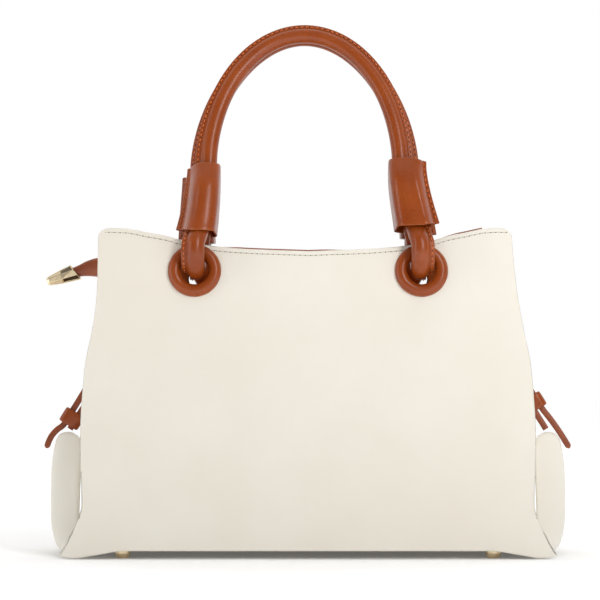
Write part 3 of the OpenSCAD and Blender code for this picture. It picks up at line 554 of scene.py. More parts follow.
class Workshop:
    """Makes Blender objects from solids, dresses them and rides them on the frame."""

    def __init__(self) -> None:
        """Starts with no material made."""
        self.made: dict[str, bpy.types.Material] = {}

    def material(self, finish: Finish) -> bpy.types.Material:
        """Returns the material of a finish, made once."""
        if finish.name not in self.made:
            self.made[finish.name] = finish.material()
        return self.made[finish.name]

    def piece(self, name: str, solid: Solid, finish: Finish, body: str, slot: str,
              replaces: Sequence[str] = (), flat: bool = False) -> bpy.types.Object:
        """Makes one piece of the bag.

        Args:
            name: Name of the object.
            solid: Its shape in millimetres.
            finish: Its finish.
            body: The frame's body on which it rides.
            slot: The record's material slot that it stands for; not used.
            replaces: CAD nodes that it stands for.
            flat: Whether its facets stay sharp.

        Returns:
            The finished object.
        """
        obj = self.raw(name, solid)
        if not flat:
            obj.data.shade_smooth()
        obj.data.materials.append(self.material(finish))
        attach(obj, body)
        if replaces:
            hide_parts(*replaces)
        LOG.info("%s: %d faces on %s", name, len(obj.data.polygons), body)
        return obj

    def sewing(self, name: str, sewn: Sequence[Solid], body: str, slot: str) -> None:
        """Makes a seam's stitches and needle holes, in the thread that goes with a slot; the holes
        are dark lenses of painted shade.
        """
        for kind, part, finish in zip(("stitches", "needle_hole_shades"), sewn, SEWING[slot]):
            self.piece(f"{name}_{kind}", part, finish, body, slot)

    @staticmethod
    def raw(name: str, solid: Solid) -> bpy.types.Object:
        """Makes an undressed object whose faces look outward.

        Args:
            name: Name of the object.
            solid: Its shape in millimetres.

        Returns:
            The object.
        """
        mesh = bpy.data.meshes.new(name)
        mesh.from_pydata((solid.points * MM).tolist(), [], solid.faces)
        mesh.validate()
        shape = bmesh.new()
        shape.from_mesh(mesh)
        if shape.calc_volume(signed=True) < 0:
            mesh.flip_normals()
        shape.free()
        obj = bpy.data.objects.new(name, mesh)
        bpy.context.scene.collection.objects.link(obj)
        return obj

    def dress(self, finish: Finish, *nodes: str) -> None:
        """Gives CAD nodes that keep their meshes a finish."""
        for node in nodes:
            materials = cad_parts[node].data.materials
            materials.clear()
            materials.append(self.material(finish))
            LOG.info("%s keeps its mesh, in %s", node, finish.name)

    @staticmethod
    def applied(obj: bpy.types.Object) -> None:
        """Bakes an object's modifiers into its mesh."""
        graph = bpy.context.evaluated_depsgraph_get()
        mesh = bpy.data.meshes.new_from_object(obj.evaluated_get(graph))
        obj.modifiers.clear()
        old, obj.data = obj.data, mesh
        bpy.data.meshes.remove(old)


@dataclass(frozen=True)
class Stitching:
    """A run of stitches with a needle hole between each two, drawn as a dark lens of painted shade.
    """

    pitch: float = 3.6
    length: float = 2.3
    radius: float = 0.34
    rise: float = 0.16
    hole_length: float = 1.3
    hole_width: float = 0.75
    hole_rise: float = 0.06
    hole_depth: float = 0.3
    dive: float = 1.8
    nudge: float = 0.4
    sides: int = 6
    hole_sides: int = 8
    widths: Table = ((-1.0, 0.45), (-0.6, 0.95), (0.0, 1.0), (0.6, 0.95), (1.0, 0.45))

    def rod(self, at: np.ndarray, along: np.ndarray, out: np.ndarray) -> Solid:
        """Makes one stitch whose ends dive into the leather.

        Args:
            at: Its middle, on the leather's surface.
            along: Its direction.
            out: The surface's normal there.

        Returns:
            The stitch.
        """
        side = np.cross(out, along)
        rings = []
        a = np.arange(self.sides) * math.pi / (self.sides // 2)
        for s, width in self.widths:
            centre = at + along * s * self.length / 2 + out * (self.rise * (1 - self.dive * s * s))
            rings.append(centre + self.radius * width * (
                np.outer(np.cos(a), out) + np.outer(np.sin(a), -side)))
        return lofted(rings)

    def hole(self, at: np.ndarray, along: np.ndarray, out: np.ndarray) -> Solid:
        """Makes one needle hole as a shallow dark lens, painted shade standing for the shade inside
        the hole.

        Args:
            at: Its middle, on the leather's surface.
            along: Its direction.
            out: The surface's normal there.

        Returns:
            The lens.
        """
        side = np.cross(out, along)
        n = self.hole_sides
        a = np.arange(n) * math.pi / (n // 2)
        rim = at + np.outer(np.cos(a), along) * self.hole_length / 2 + np.outer(
            np.sin(a), side) * self.hole_width / 2
        points = np.concatenate([rim, [at + out * self.hole_rise, at - out * self.hole_depth]])
        faces: Faces = [(i, (i + 1) % n, n) for i in range(n)]
        faces += [((i + 1) % n, i, n + 1) for i in range(n)]
        return Solid(points, faces)

    def sew(self, path: np.ndarray, outward: np.ndarray,
            keep: Callable[[np.ndarray], bool] | None = None) -> tuple[Solid, Solid]:
        """Sews along a curve on a surface.

        Args:
            path: The curve's points.
            outward: The surface's normals at those points.
            keep: Tells whether a stitch is made at a point, or None for all.

        Returns:
            The stitches and the needle holes, dark lenses of painted shade.
        """
        at, run = even_path(path, self.pitch)
        places = along_path(path, run, at)
        outs = unit(along_path(outward, run, at))
        ahead = along_path(path, run, np.minimum(at + self.nudge, run[-1]))
        behind = along_path(path, run, np.maximum(at - self.nudge, 0))
        alongs = unit(ahead - behind)
        half = (at[1] - at[0]) / 2 if len(at) > 1 else self.pitch / 2
        gaps = along_path(path, run, np.minimum(at + half, run[-1]))
        rods, holes = [], []
        for p, t, n, g in zip(places, alongs, outs, gaps):
            if keep is None or keep(p):
                n = unit(n - np.dot(n, t) * t)
                rods.append(self.rod(p, t, n))
                holes.append(self.hole(g, t, n))
        return Solid.joined(rods), Solid.joined(holes)

    def sew_all(self, runs: Sequence[tuple[np.ndarray, np.ndarray]],
                keep: Callable[[np.ndarray], bool] | None = None) -> tuple[Solid, Solid]:
        """Sews along several curves and joins their stitches and their needle holes, dark lenses of
        painted shade.
        """
        rods, holes = zip(*(self.sew(path, outward, keep) for path, outward in runs))
        return Solid.joined(rods), Solid.joined(holes)


# ------------------------------------------------------------------------------ the bag's form


@dataclass(frozen=True)
class BagForm:
    """Outline of the bag's body, shared by its panels, gussets, facings and lining."""

    body_w: float = 304
    base_d: float = 130
    corner_z: float = 222.2
    top_dip: float = 15.9
    panel_t: float = 2.4
    gusset_t: float = 2
    seam_inset: float = 2
    gusset_fold: float = 14
    foot_h: float = 5.4
    base_t: float = 2.2
    flare_w: float = 10
    zip_z: float = 172.7
    ring_x: float = 76.6
    ring_z: float = 192.7
    corner_in: float = 8
    corner_drop: float = 5.5
    width_shares: Table = ((0, 1.035), (0.06, 1.03), (0.11, 1.008), (0.16, 0.99), (0.38, 1),
                           (0.57, 0.985), (0.69, 0.954), (0.82, 0.925), (1, 0.905))
    depth_shares: Table = ((0, 1), (0.2, 0.98), (0.45, 0.9), (0.72, 0.80), (1, 0.68))
    top_shares: Table = ((0, 0), (0.33, 0.115), (0.57, 0.36), (0.69, 0.66), (0.77, 0.80),
                         (0.88, 0.98), (0.945, 1), (1, 1))
    low_shares: Table = ((0, 0), (0.77, 0), (0.88, 0.62), (0.945, 1), (0.975, 0.88), (1, 0.55))
    fold_shares: Table = ((0, 0.62), (0.6, 0.62), (1, 1))
    gusset_top_shares: Table = ((0, 0), (0.3, 0), (0.55, 0.3), (0.75, 0.62), (1, 1))

    def half_w(self, z: np.ndarray) -> np.ndarray:
        """Returns half of the body's width at a height."""
        return self.body_w / 2 * eased(np.asarray(z) / self.corner_z, self.width_shares)

    def half_d(self, z: np.ndarray) -> np.ndarray:
        """Returns half of the body's depth at a height."""
        return self.base_d / 2 * eased(np.asarray(z) / self.corner_z, self.depth_shares)

    def brim_z(self, share: np.ndarray) -> np.ndarray:
        """Returns the height of the top edge before its corners are rounded."""
        return self.corner_z - self.top_dip * (1 - eased(np.abs(share), self.top_shares))

    def top_z(self, share: np.ndarray) -> np.ndarray:
        """Returns the height of the top edge at a share of its half width."""
        wide = float(self.half_w(self.corner_z))
        near = np.clip((np.abs(share) * wide - wide + self.corner_in) / self.corner_in, 0, 1)
        return self.brim_z(share) - self.corner_drop * (1 - np.sqrt(1 - near**2))

    def flare(self, z: np.ndarray) -> np.ndarray:
        """Returns the extra half width of the flared lower corners at a height."""
        return self.flare_w * np.maximum(1 - np.asarray(z) / (5 * self.foot_h), 0)**2

    def low_z(self, share: np.ndarray) -> np.ndarray:
        """Returns the height of a panel's lower edge at a share of its half width."""
        return self.foot_h * (1 - 0.85 * eased(np.abs(share), self.low_shares))

    def panel(self, share: np.ndarray, rise: np.ndarray, inset: float) -> np.ndarray:
        """Finds points on the front panel.

        Args:
            share: Shares of the half width, from -1 to 1.
            rise: Shares of the height, from 0 to 1.
            inset: Distance behind the outer face.

        Returns:
            The points.
        """
        z = self.low_z(share) + (self.top_z(share) - self.low_z(share)) * rise
        x = share * (self.half_w(z) + self.flare(z) * np.abs(share)**6)
        return np.stack([x, -self.half_d(z) + inset, z], -1)

    def gusset_x(self, z: np.ndarray, c: np.ndarray) -> np.ndarray:
        """Returns the place of the right gusset's outer face at a height and a share of depth."""
        fold = self.gusset_fold * eased(np.asarray(z) / self.corner_z, self.fold_shares)
        return self.half_w(z) - self.seam_inset - fold * (1 - c * c)

    def gusset_top(self, c: np.ndarray) -> np.ndarray:
        """Returns the height of a gusset's top edge at a share of its depth."""
        low, high = self.zip_z - 0.3, self.corner_z - self.corner_drop - self.panel_t
        return low + (high - low) * eased(np.abs(c), self.gusset_top_shares)


FORM = BagForm()


@dataclass
class Panels:
    """Front and back panels with their facings and edge stitching."""

    form: BagForm = FORM
    columns: int = 141
    rows: int = 91
    bulge: float = 1.5
    hole_r: float = 11.0
    facing_t: float = 1.6
    sew_gap: float = 0.15
    facing_low: float = 167.7
    facing_side: float = 0.86
    stitch_in: float = 3.3
    stitch_to: float = 0.976
    stitch_out: tuple[float, float, float] = (0.0, -0.992, 0.125)
    crowding: float = 1.6
    cutter_y: tuple[float, float] = (70.0, 25.0)
    cutter_sides: int = 64
    facing_rows: int = 21
    rim_steps: int = 6
    calm_z: tuple[float, float] = (145, 172)
    belly_h: float = 165
    crease_at: tuple[float, float] = (132, 84)
    crease_way: tuple[float, float] = (0.6, 0.8)
    crease_rise: float = 0.7
    crease_half_w: float = 8
    crease_half_l: float = 26
    dent_at: tuple[float, float] = (146, 60)
    dent_depth: float = 0.5
    dent_half_w: float = 9
    dent_half_h: float = 26
    wave: float = 0.35
    wave_x: tuple[float, float] = (0.045, 0.8)
    wave_z: tuple[float, float] = (0.036, 0.4)
    lift: float = 0.9
    lift_x: Sequence[float] = (-62, -45, 8, 30, 88, 104)
    stitching: Stitching = field(default_factory=Stitching)

    def softened(self, points: np.ndarray) -> np.ndarray:
        """Lets a panel swell and crease a little, as leather does on a standing bag.

        Args:
            points: Points of the front panel's outer face.

        Returns:
            The moved points.
        """
        x, z = points[..., 0], points[..., 2]
        share = np.clip(x / self.form.half_w(z), -1, 1)
        calm = 1 - fade(z, *self.calm_z)
        belly = np.cos(share * math.pi / 2) * np.sin(np.clip(z / self.belly_h, 0, 1) * math.pi)
        push = self.bulge * belly * calm
        for side in (-1, 1):
            dx, dz = x * side - self.crease_at[0], z - self.crease_at[1]
            c, s = self.crease_way
            across, along = dx * c + dz * s, dx * s - dz * c
            push += self.crease_rise * np.exp(
                -(across / self.crease_half_w)**2 - (along / self.crease_half_l)**2) * calm
            dx, dz = x * side - self.dent_at[0], z - self.dent_at[1]
            push -= self.dent_depth * np.exp(
                -(dx / self.dent_half_w)**2 - (dz / self.dent_half_h)**2) * calm
        (px, sx), (pz, sz) = self.wave_x, self.wave_z
        push += self.wave * np.sin(x * px + sx) * np.sin(z * pz + sz) * calm
        moved = points.copy()
        moved[..., 1] -= push
        return moved

    def grid(self, inset: float) -> np.ndarray:
        """Returns the grid of points of the front panel's face at an inset."""
        edge = np.linspace(-1, 1, self.columns)
        share = np.sign(edge) * (1 - (1 - np.abs(edge))**self.crowding)
        rise = np.linspace(0, 1, self.rows)
        s, t = np.meshgrid(share, rise)
        return self.form.panel(s, t, inset)

    def ring_cutter(self, side: Side) -> bpy.types.Object:
        """Makes the round cutters for a panel's two ring holes."""
        solids = []
        n = self.cutter_sides
        a = np.arange(n) * 2 * math.pi / n
        for end in (-1, 1):
            x = end * self.form.ring_x + self.hole_r * np.cos(a)
            z = self.form.ring_z + self.hole_r * np.sin(a)
            solids.append(lofted([np.stack([x, np.full(n, side.value * y), z], 1)
                                  for y in self.cutter_y]))
        return Workshop.raw("ring_cutter", Solid.joined(solids))

    def pierce(self, sheet: bpy.types.Object, cutter: bpy.types.Object) -> None:
        """Cuts the ring holes through a sheet."""
        cut = sheet.modifiers.new("ring_holes", "BOOLEAN")
        cut.operation, cut.solver, cut.object = "DIFFERENCE", "EXACT", cutter
        Workshop.applied(sheet)
        sheet.data.shade_smooth()

    def facing(self) -> Solid:
        """Makes the inner facing of the front panel."""
        edge = np.linspace(-1, 1, self.columns) * self.facing_side
        s, t = np.meshgrid(edge, np.linspace(0, 1, self.facing_rows))
        top = self.form.top_z(s)
        x_top, lifts = s * self.form.half_w(top), self.lift_x
        lift = self.lift * fade(x_top, *lifts[:2]) * (1 - fade(x_top, *lifts[2:4]))
        lift += self.lift * fade(x_top, *lifts[4:])
        z = self.facing_low + (top + lift - self.facing_low) * t
        y = -self.form.half_d(z) + self.form.panel_t + self.sew_gap
        grid = np.stack([s * self.form.half_w(z), y, z], -1)
        return thick_sheet(grid, self.facing_t)

    def edge_stitches(self) -> tuple[Solid, Solid]:
        """Sews along the front panel's top edge."""
        share = np.linspace(-self.stitch_to, self.stitch_to, 260)
        top, low = self.form.top_z(share), self.form.low_z(share)
        line = self.form.brim_z(share) - self.stitch_in
        path = self.form.panel(share, (line - low) / (top - low), 0)
        return self.stitching.sew(path, np.tile(self.stitch_out, (len(path), 1)))

    def build(self, shop: Workshop) -> None:
        """Makes both panels with everything sewn to them."""
        panel = thick_sheet(self.softened(self.grid(0)), self.form.panel_t, self.rim_steps)
        sheets = (("panel", panel, CREAM, "cream_leather"),
                  ("facing", self.facing(), TAN_STRAP, "tan_leather"))
        sewn = self.edge_stitches()
        for side in Side:
            name, back = side.name.lower(), side is Side.BACK
            cutter = self.ring_cutter(side)
            for kind, sheet, finish, slot in sheets:
                piece = shop.piece(f"{name}_{kind}_leather", sheet.mirrored(False, back).leant(),
                                   finish, "bag", slot, [f"{name}_{kind}"])
                self.pierce(piece, cutter)
            bpy.data.objects.remove(cutter)
            shop.sewing(f"{name}_edge", [part.mirrored(False, back).leant() for part in sewn],
                        "bag", "cream_leather")


@dataclass
class Gussets:
    """Folded side walls between the panels."""

    form: BagForm = FORM
    columns: int = 61
    rows: int = 71
    sew_gap: float = 0.15
    crease_depth: float = 0.5
    crease_half_w: float = 0.05
    crease_z: tuple[float, float] = (90, 160)
    wave: float = 0.5

    def sheet(self) -> Solid:
        """Makes the right gusset."""
        c, t = np.meshgrid(np.linspace(-1, 1, self.columns), np.linspace(0, 1, self.rows))
        low = self.form.foot_h + self.form.base_t
        z = low + (self.form.gusset_top(c) - low) * t
        crease = self.crease_depth * np.exp(-(c / self.crease_half_w)**2) * fade(z, *self.crease_z)
        x = self.form.gusset_x(z, c) - crease
        x += self.wave * np.sin(z * 0.05) * (1 - c * c) * np.sin(c * 4)
        y = c * (self.form.half_d(z) - self.form.panel_t - self.sew_gap)
        return thick_sheet(np.stack([x, y, z], -1), self.form.gusset_t, 4)

    def build(self, shop: Workshop) -> None:
        """Makes both gussets."""
        sheet = self.sheet()
        for end in End:
            name = end.name.lower()
            shop.piece(f"{name}_gusset_leather", sheet.mirrored(end is End.LEFT, False).leant(),
                       CREAM, "bag", "cream_leather", [f"{name}_gusset"])


@dataclass
class Base:
    """Base panel, its stiffening board, and the metal feet with their washers."""

    def build(self, shop: Workshop) -> None:
        """Dresses the base's own CAD nodes."""
        shop.dress(CREAM, "base_panel")
        shop.dress(BOARD, "base_board")
        shop.dress(GOLD, "base_feet", "foot_washers")


@dataclass
class Lining:
    """Cloth cup inside the bag, a little slack between its corners."""

    form: BagForm = FORM
    low_z: float = 10.7
    high_z: float = 166.7
    gap: float = 0.75
    thickness: float = 1.0
    slack: float = 1.6
    slack_h: float = 156
    levels: int = 34
    rim: float = 0.2

    def ring(self, z: float, inset: float) -> np.ndarray:
        """Returns the lining's outline at a height."""
        form = self.form
        y = float(form.half_d(z)) - form.panel_t - self.gap - inset
        c = np.linspace(-1, 1, 33)
        x = form.gusset_x(z, c) - form.gusset_t - self.gap - inset
        right = np.stack([x, y * c], 1)
        u = np.linspace(1, -1, 61)[1:-1]
        back = np.stack([u * x[-1], np.full(len(u), y)], 1)
        level = math.sin(math.pi * min(max((z - self.low_z) / self.slack_h, 0), 1))
        folds = self.slack * level * (0.5 + 0.5 * np.sin(u * 7 + z * 0.02)) * (1 - u * u)
        back[:, 1] -= folds
        half = np.concatenate([right, back])
        ring = np.concatenate([half, -half])
        return np.column_stack([ring, np.full(len(ring), z)])

    def build(self, shop: Workshop) -> None:
        """Makes the lining."""
        outer = np.linspace(self.low_z, self.high_z, self.levels)
        rings = [self.ring(z, 0) for z in outer]
        rings.append(self.ring(self.high_z + self.rim, self.thickness / 2))
        inner = np.linspace(self.high_z, self.low_z + self.thickness, self.levels)
        rings += [self.ring(z, self.thickness) for z in inner]
        shop.piece("lining_cup", lofted(rings), LINING_CLOTH, "bag", "lining_cloth", ["lining"])


@dataclass
class Rings:
    """Leather-covered rings round the handle holes."""

    form: BagForm = FORM
    outer_r: float = 18
    hole_r: float = 9.4
    proud: float = 4.5
    collar_t: float = 1.0
    collar_depth: float = 4.0
    tilt: float = 7.14587
    wall_in: float = 0.15
    seat_z: float = 0.03
    segments: int = 112
    waves: Sequence[tuple[float, int, float]] = ((0.004, 5, 0.6), (0.003, 11, 0))

    def profile(self) -> list[tuple[float, float]]:
        """Returns the ring's outline as radius and height above the panel."""
        tube = (self.outer_r - self.hole_r) / 2
        middle, lift = self.hole_r + tube, self.proud - tube
        low = math.degrees(math.asin(lift / tube))
        dome = [(middle + tube * math.cos(math.radians(a)), lift + tube * math.sin(math.radians(a)))
                for a in np.linspace(-low + 1, 180 + low, 30)]
        wall = self.hole_r + self.wall_in
        back = wall + self.collar_t
        return [(self.outer_r - 0.1, self.seat_z), *dome, (wall, -self.collar_depth),
                (back, -self.collar_depth), (back, self.seat_z)]

    def solid(self) -> Solid:
        """Makes the front right ring."""
        ring = lathed(self.profile(), self.segments)
        turn = np.arctan2(ring.points[:, 1], ring.points[:, 0])
        wave = np.ones(len(turn))
        for depth, count, start in self.waves:
            wave = wave + depth * np.sin(turn * count + start)
        high = ring.points[:, 2] > 0.5
        ring.points[high, 2] *= wave[high]
        a = math.radians(90 - self.tilt)
        x, y, z = ring.points.T
        turned = np.stack([x, y * math.cos(a) - z * math.sin(a),
                           y * math.sin(a) + z * math.cos(a)], 1)
        seat = np.array([self.form.ring_x, -float(self.form.half_d(self.form.ring_z)),
                         self.form.ring_z])
        return Solid(turned + seat, ring.faces)

    def build(self, shop: Workshop) -> None:
        """Makes the four rings and dresses the backing rings."""
        solid = self.solid()
        for side in Side:
            for end in End:
                name = f"{side.name.lower()}_{end.name.lower()}_ring"
                shop.piece(f"{name}_leather", solid.mirrored(end is End.LEFT, side is Side.BACK),
                           TAN, "bag", "tan_leather", [name])
        shop.dress(TAN, "ring_backs")


# ------------------------------------------------------------------------------------ handles


@dataclass(frozen=True)
class Settling:
    """How a soft sleeve settled round its strands.

    The sleeve sits up above the usual place, its tab is turned toward the front, its low inner
    side hangs slack, and the upper end of its tab stands out by a reach.
    """

    up: float = 0.0
    turn: float = 0.0
    slack: float = 1.0
    reach: float = 0.0
    turn_front: tuple[float, float] = (1, 15)
    turn_back: tuple[float, float] = (9.5, 15)
    slack_to: float = 7
    reach_x: tuple[float, float] = (4, 14)

    def laid(self, outline: np.ndarray, share: float) -> np.ndarray:
        """Turns and loosens a sleeve's section.

        Args:
            outline: The section, relative to the strand's centre.
            share: Its share of the sleeve's length.

        Returns:
            The settled section.
        """
        x, q = outline.T
        aside = np.where(q < 0, fade(x, *self.turn_front), fade(x, *self.turn_back))
        loose = self.slack * (1 - share)**1.5 * fade(-x, 0, self.slack_to)
        return np.stack([x - loose + self.reach * share * fade(x, *self.reach_x),
                         q - self.turn * aside], 1)


@dataclass
class Handles:
    """Rolled handles with their stitched seam flange, and the sleeves round their strands.

    A handle is drawn in its own plane: X as in the bag, Q across the plane and V along it from
    the pivot.
    """

    pivot_y: float = -45.2143
    pivot_z: float = 206.272
    lean: float = 14.5388
    reach: float = 158.8
    arch_foot: float = 58.939
    arch_half_w: float = 66
    loop_x: float = 75.6
    loop_r: float = 13.4617
    crown_r: float = 5.1
    arch_r: float = 5.9
    loop_tube_r: float = 6.2
    flange_w: float = 3.2
    flange_t: float = 2.0
    flange_seam: float = 0.45
    flange_hidden: tuple[float, float] = (4, 2)
    back_spread: float = 7
    spread_power: float = 0.72
    arch_steps: int = 12
    loop_from: float = 120
    loop_step: float = 24
    sleeve_start: float = 11.939
    sleeve_l: float = 50
    sleeve_t: float = 1.4
    sleeve_tab: float = 3.0
    sleeve_flare: float = 2.6
    sleeve_ends: tuple[float, float] = (0.015, 0.985)
    sleeve_depths: Table = ((0, 1), (0.12, 0.87), (0.35, 0.81), (0.62, 0.78), (1, 0))
    tab_x: tuple[float, float] = (3, 16)
    tab_rise: float = 3.0
    tab_fall: float = 5.0
    tab_seam_ends: tuple[float, float] = (0.03, 0.97)
    seam_in: float = 1.9
    seam_slope: float = 0.06
    low_level: float = 0.75
    high_level: float = 0.5
    gap: float = 0.3
    sway: float = 2.4
    sway_v: tuple[float, float] = (4, 62)
    core_in: float = 2.0
    front: Sequence[Settling] = (Settling(0.0, -2.5, 2.0, 0.0), Settling(3.4, 6.5, 4.0, 2.8))
    back: Sequence[Settling] = (Settling(), Settling(up=3.4))
    strand_shares: Table = ((0.225, 0.64), (0.34, 0.53), (0.56, 0.51), (0.7, 0.42), (0.86, 0.18),
                            (1, 0))
    end_shares: Table = ((0.225, 0.64), (0.34, 0.53), (0.66, 0.53))
    stitching: Stitching = field(default_factory=lambda: Stitching(
        pitch=3.6, length=2.35, radius=0.38, rise=0.2, hole_length=1.25, hole_width=0.85))

    def placed(self, points: np.ndarray) -> np.ndarray:
        """Carries points from the front handle's plane into the frame."""
        a = math.radians(self.lean)
        x, q, v = np.asarray(points, float).T
        return np.stack([x, self.pivot_y + q * math.cos(a) + v * math.sin(a),
                         self.pivot_z - q * math.sin(a) + v * math.cos(a)], 1)

    def above(self, y: np.ndarray | float, z: np.ndarray | float) -> np.ndarray | float:
        """Returns how far up the front handle's plane a place lies from the pivot."""
        a = math.radians(self.lean)
        return (y - self.pivot_y) * math.sin(a) + (z - self.pivot_z) * math.cos(a)

    def wider(self, v: float, spread: float) -> float:
        """Returns how much wider a handle with that spread stands at a reach from the pivot."""
        return spread * math.sin(math.pi * (v / self.reach)**self.spread_power)

    def strand_x(self, v: float, spread: float) -> float:
        """Returns the place of a strand's centre at a reach from the pivot."""
        v = max(v, 0)
        bend = max(1 - v / self.arch_foot, 0)**1.5
        return (self.arch_half_w + (self.loop_x - self.arch_half_w) * bend
                + self.wider(v, spread))

    def centre_line(self, spread: float) -> np.ndarray:
        """Draws a handle's centre line from one hidden end to the other.

        Args:
            spread: How much wider than the front handle its arch stands, on each side.

        Returns:
            The line's points in the handle's plane.
        """
        half = []
        for i in range(self.arch_steps + 1):
            a = math.pi / 2 * (1 - i / self.arch_steps)
            v = self.arch_foot + (self.reach - self.arch_foot) * math.sin(a)
            half.append([self.arch_half_w * math.cos(a) + self.wider(v, spread), 0, v])
        for share, y in reversed(self.strand_shares[:-1]):
            v = share * self.arch_foot
            half.append([self.strand_x(v, spread), -y * self.loop_r, v])
        for i in range(11):
            a = math.radians(self.loop_from - self.loop_step * i)
            v = -self.loop_r * math.cos(a)
            half.append([self.strand_x(v, spread), -self.loop_r * math.sin(a), v])
        for share, y in self.end_shares:
            v = share * self.arch_foot
            half.append([self.strand_x(v, spread), y * self.loop_r, v])
        other = [[-p[0], p[1], p[2]] for p in half[:0:-1]]
        return smooth_path(other + half, 6)

    def roll_r(self, v: np.ndarray) -> np.ndarray:
        """Returns the rolled leather's radius at a reach from the pivot."""
        above = (v - self.arch_foot) / (self.reach - self.arch_foot)
        below = np.maximum(v, 0) / self.arch_foot
        return np.where(v > self.arch_foot,
                        self.arch_r + (self.crown_r - self.arch_r) * above,
                        self.loop_tube_r + (self.arch_r - self.loop_tube_r) * below)

    def frames(self, line: np.ndarray) -> tuple[np.ndarray, np.ndarray]:
        """Finds the directions of the seam flange and across it along a handle.

        Args:
            line: The centre line.

        Returns:
            The flange's direction and the one across it, at each point.
        """
        along = unit(np.gradient(line, axis=0))
        rise = (self.reach - self.arch_foot)**2
        lean = unit(np.stack([line[:, 0] / self.arch_half_w**2, np.zeros(len(line)),
                              np.maximum(line[:, 2] - self.arch_foot, 0) / rise], 1))
        out = unit(lean - (lean * along).sum(1, keepdims=True) * along)
        return out, np.cross(along, out)

    def swayed(self, solid: Solid, back: bool) -> Solid:
        """Lets a handle's soft upper part sway a little to the left.

        Args:
            solid: A piece of a handle, in its place.
            back: Whether it belongs to the back handle.

        Returns:
            The swayed piece.
        """
        points = solid.points.copy()
        v = self.above(-points[:, 1] if back else points[:, 1], points[:, 2])
        points[:, 0] -= self.sway * fade(v, *self.sway_v)
        return Solid(points, solid.faces)

    def roll_outline(self, r: float) -> np.ndarray:
        """Draws the rolled leather's section with its flange and the crease at its root."""
        t, w = self.flange_t / 2, self.flange_w
        tip = [(r + w - 0.3, -t), (r + w, -t * 0.55), (r + w, t * 0.55), (r + w - 0.3, t)]
        root = [(r + w * 0.5, t), (r + 0.55, t * 1.02), (r + 0.1, t * 1.3)]
        turn = [(r * math.cos(math.radians(a)), r * math.sin(math.radians(a)))
                for a in np.linspace(24, 336, 28)]
        back = [(o, -s) for o, s in reversed(root)]
        return np.array([*tip, *root, *turn, *back])

    def rolled(self, spread: float) -> Solid:
        """Makes the rolled leather of the front handle."""
        line = self.centre_line(spread)
        out, side = self.frames(line)
        rings = []
        for p, o, s, r in zip(line, out, side, self.roll_r(line[:, 2])):
            rings.append(self.placed(ring_at(p, self.roll_outline(float(r)), o, s)))
        return lofted(rings)

    def rope(self, spread: float) -> Solid:
        """Makes the three-strand rope core of the front handle."""
        line = self.centre_line(spread)
        out, side = self.frames(line)
        turn = np.arange(18) * math.pi / 9
        rings = []
        for p, o, s, r, at in zip(line, out, side, self.roll_r(line[:, 2]), run_of(line)):
            wide = (float(r) - self.core_in) * (0.93 + 0.07 * np.cos(3 * turn - at * 0.5))
            q = np.stack([wide * np.cos(turn), wide * np.sin(turn)], 1)
            rings.append(self.placed(ring_at(p, q, o, s)))
        return lofted(rings)

    def seam(self, spread: float) -> tuple[Solid, Solid]:
        """Sews the flange of the front handle on both of its faces."""
        line = self.centre_line(spread)
        out, side = self.frames(line)
        r = self.roll_r(line[:, 2])[:, None]
        low = self.sleeve_start + self.flange_hidden[0]
        high = self.sleeve_start + self.sleeve_l - self.flange_hidden[1]

        def shows(p: np.ndarray) -> bool:
            """Tells whether a stitch lies outside the sleeves."""
            return not low < self.above(p[1], p[2]) < high

        runs = []
        for face in (-1, 1):
            path = (line + out * (r + self.flange_w * self.flange_seam)
                    + side * face * self.flange_t / 2)
            runs.append((self.placed(path), self.placed(path + side * face) - self.placed(path)))
        return self.stitching.sew_all(runs, shows)

    def sleeve_outline(self, half_q: float, wall: float, tab: float) -> np.ndarray:
        """Draws a sleeve's section round its strands.

        Args:
            half_q: Half of the hollow's depth across the plane.
            wall: Distance outside the hollow.
            tab: Reach of the stitched tab past the wall.

        Returns:
            The section's points, relative to the strand's centre.
        """
        in_r = (self.loop_tube_r + 2 * self.gap) / math.cos(math.radians(15)) + wall
        out_x = self.loop_tube_r + self.flange_w + 2 * self.gap
        deep = half_q - in_r + wall
        points = [(out_x * 0.3, -(half_q + wall)), (out_x * 0.75, -(half_q * 0.86 + wall)),
                  (out_x + wall * 0.6, -(half_q * 0.5 + wall))]
        nose = [(out_x + wall + tab * 0.45, -wall * 1.15), (out_x + wall + tab - 0.35, -wall),
                (out_x + wall + tab, -wall * 0.5)]
        curve = [tuple(p) for p in smooth_path(points + nose[:1], 4)[:-1]]
        upper = [(x, -y) for x, y in reversed(curve + nose)]
        arc = [(in_r * math.cos(math.radians(a)), deep + in_r * math.sin(math.radians(a)))
               for a in np.linspace(90, 180, 9)]
        low_arc = [(x, -y) for x, y in reversed(arc)]
        return np.array(curve + nose + upper + arc + low_arc)

    def tab_lift(self, x: np.ndarray | float, share: float) -> np.ndarray:
        """Returns how far the tab's ends draw in at a place beside the strand."""
        return fade(x, *self.tab_x) * (self.tab_rise - self.tab_fall * share)

    def sleeve(self, spread: float, how: Settling) -> Solid:
        """Makes a front right sleeve.

        Args:
            spread: How much wider than the front handle its arch stands, on each side.
            how: How it settled.

        Returns:
            The sleeve.
        """
        low_q = self.loop_r * 0.78 + self.loop_tube_r * 1.14 + self.gap
        high_q = self.arch_r + self.gap + self.loop_r * 0.2

        def ring(share: float, wall: float, tab: float, lift: float) -> np.ndarray:
            """Returns the sleeve's section at a share of its length."""
            v = self.sleeve_start + how.up + self.sleeve_l * share
            half_q = high_q + (low_q - high_q) * float(eased(share, self.sleeve_depths))
            outline = how.laid(self.sleeve_outline(half_q, wall, tab), share)
            level = outline[:, 1] * math.tan(math.radians(self.lean)) * (
                self.low_level + (self.high_level - self.low_level) * share)
            height = v + level + self.tab_lift(outline[:, 0], share) + lift
            x = [self.strand_x(v + float(d), spread) for d in level] + outline[:, 0]
            return self.placed(np.stack([x, outline[:, 1], height], 1))

        t = self.sleeve_t

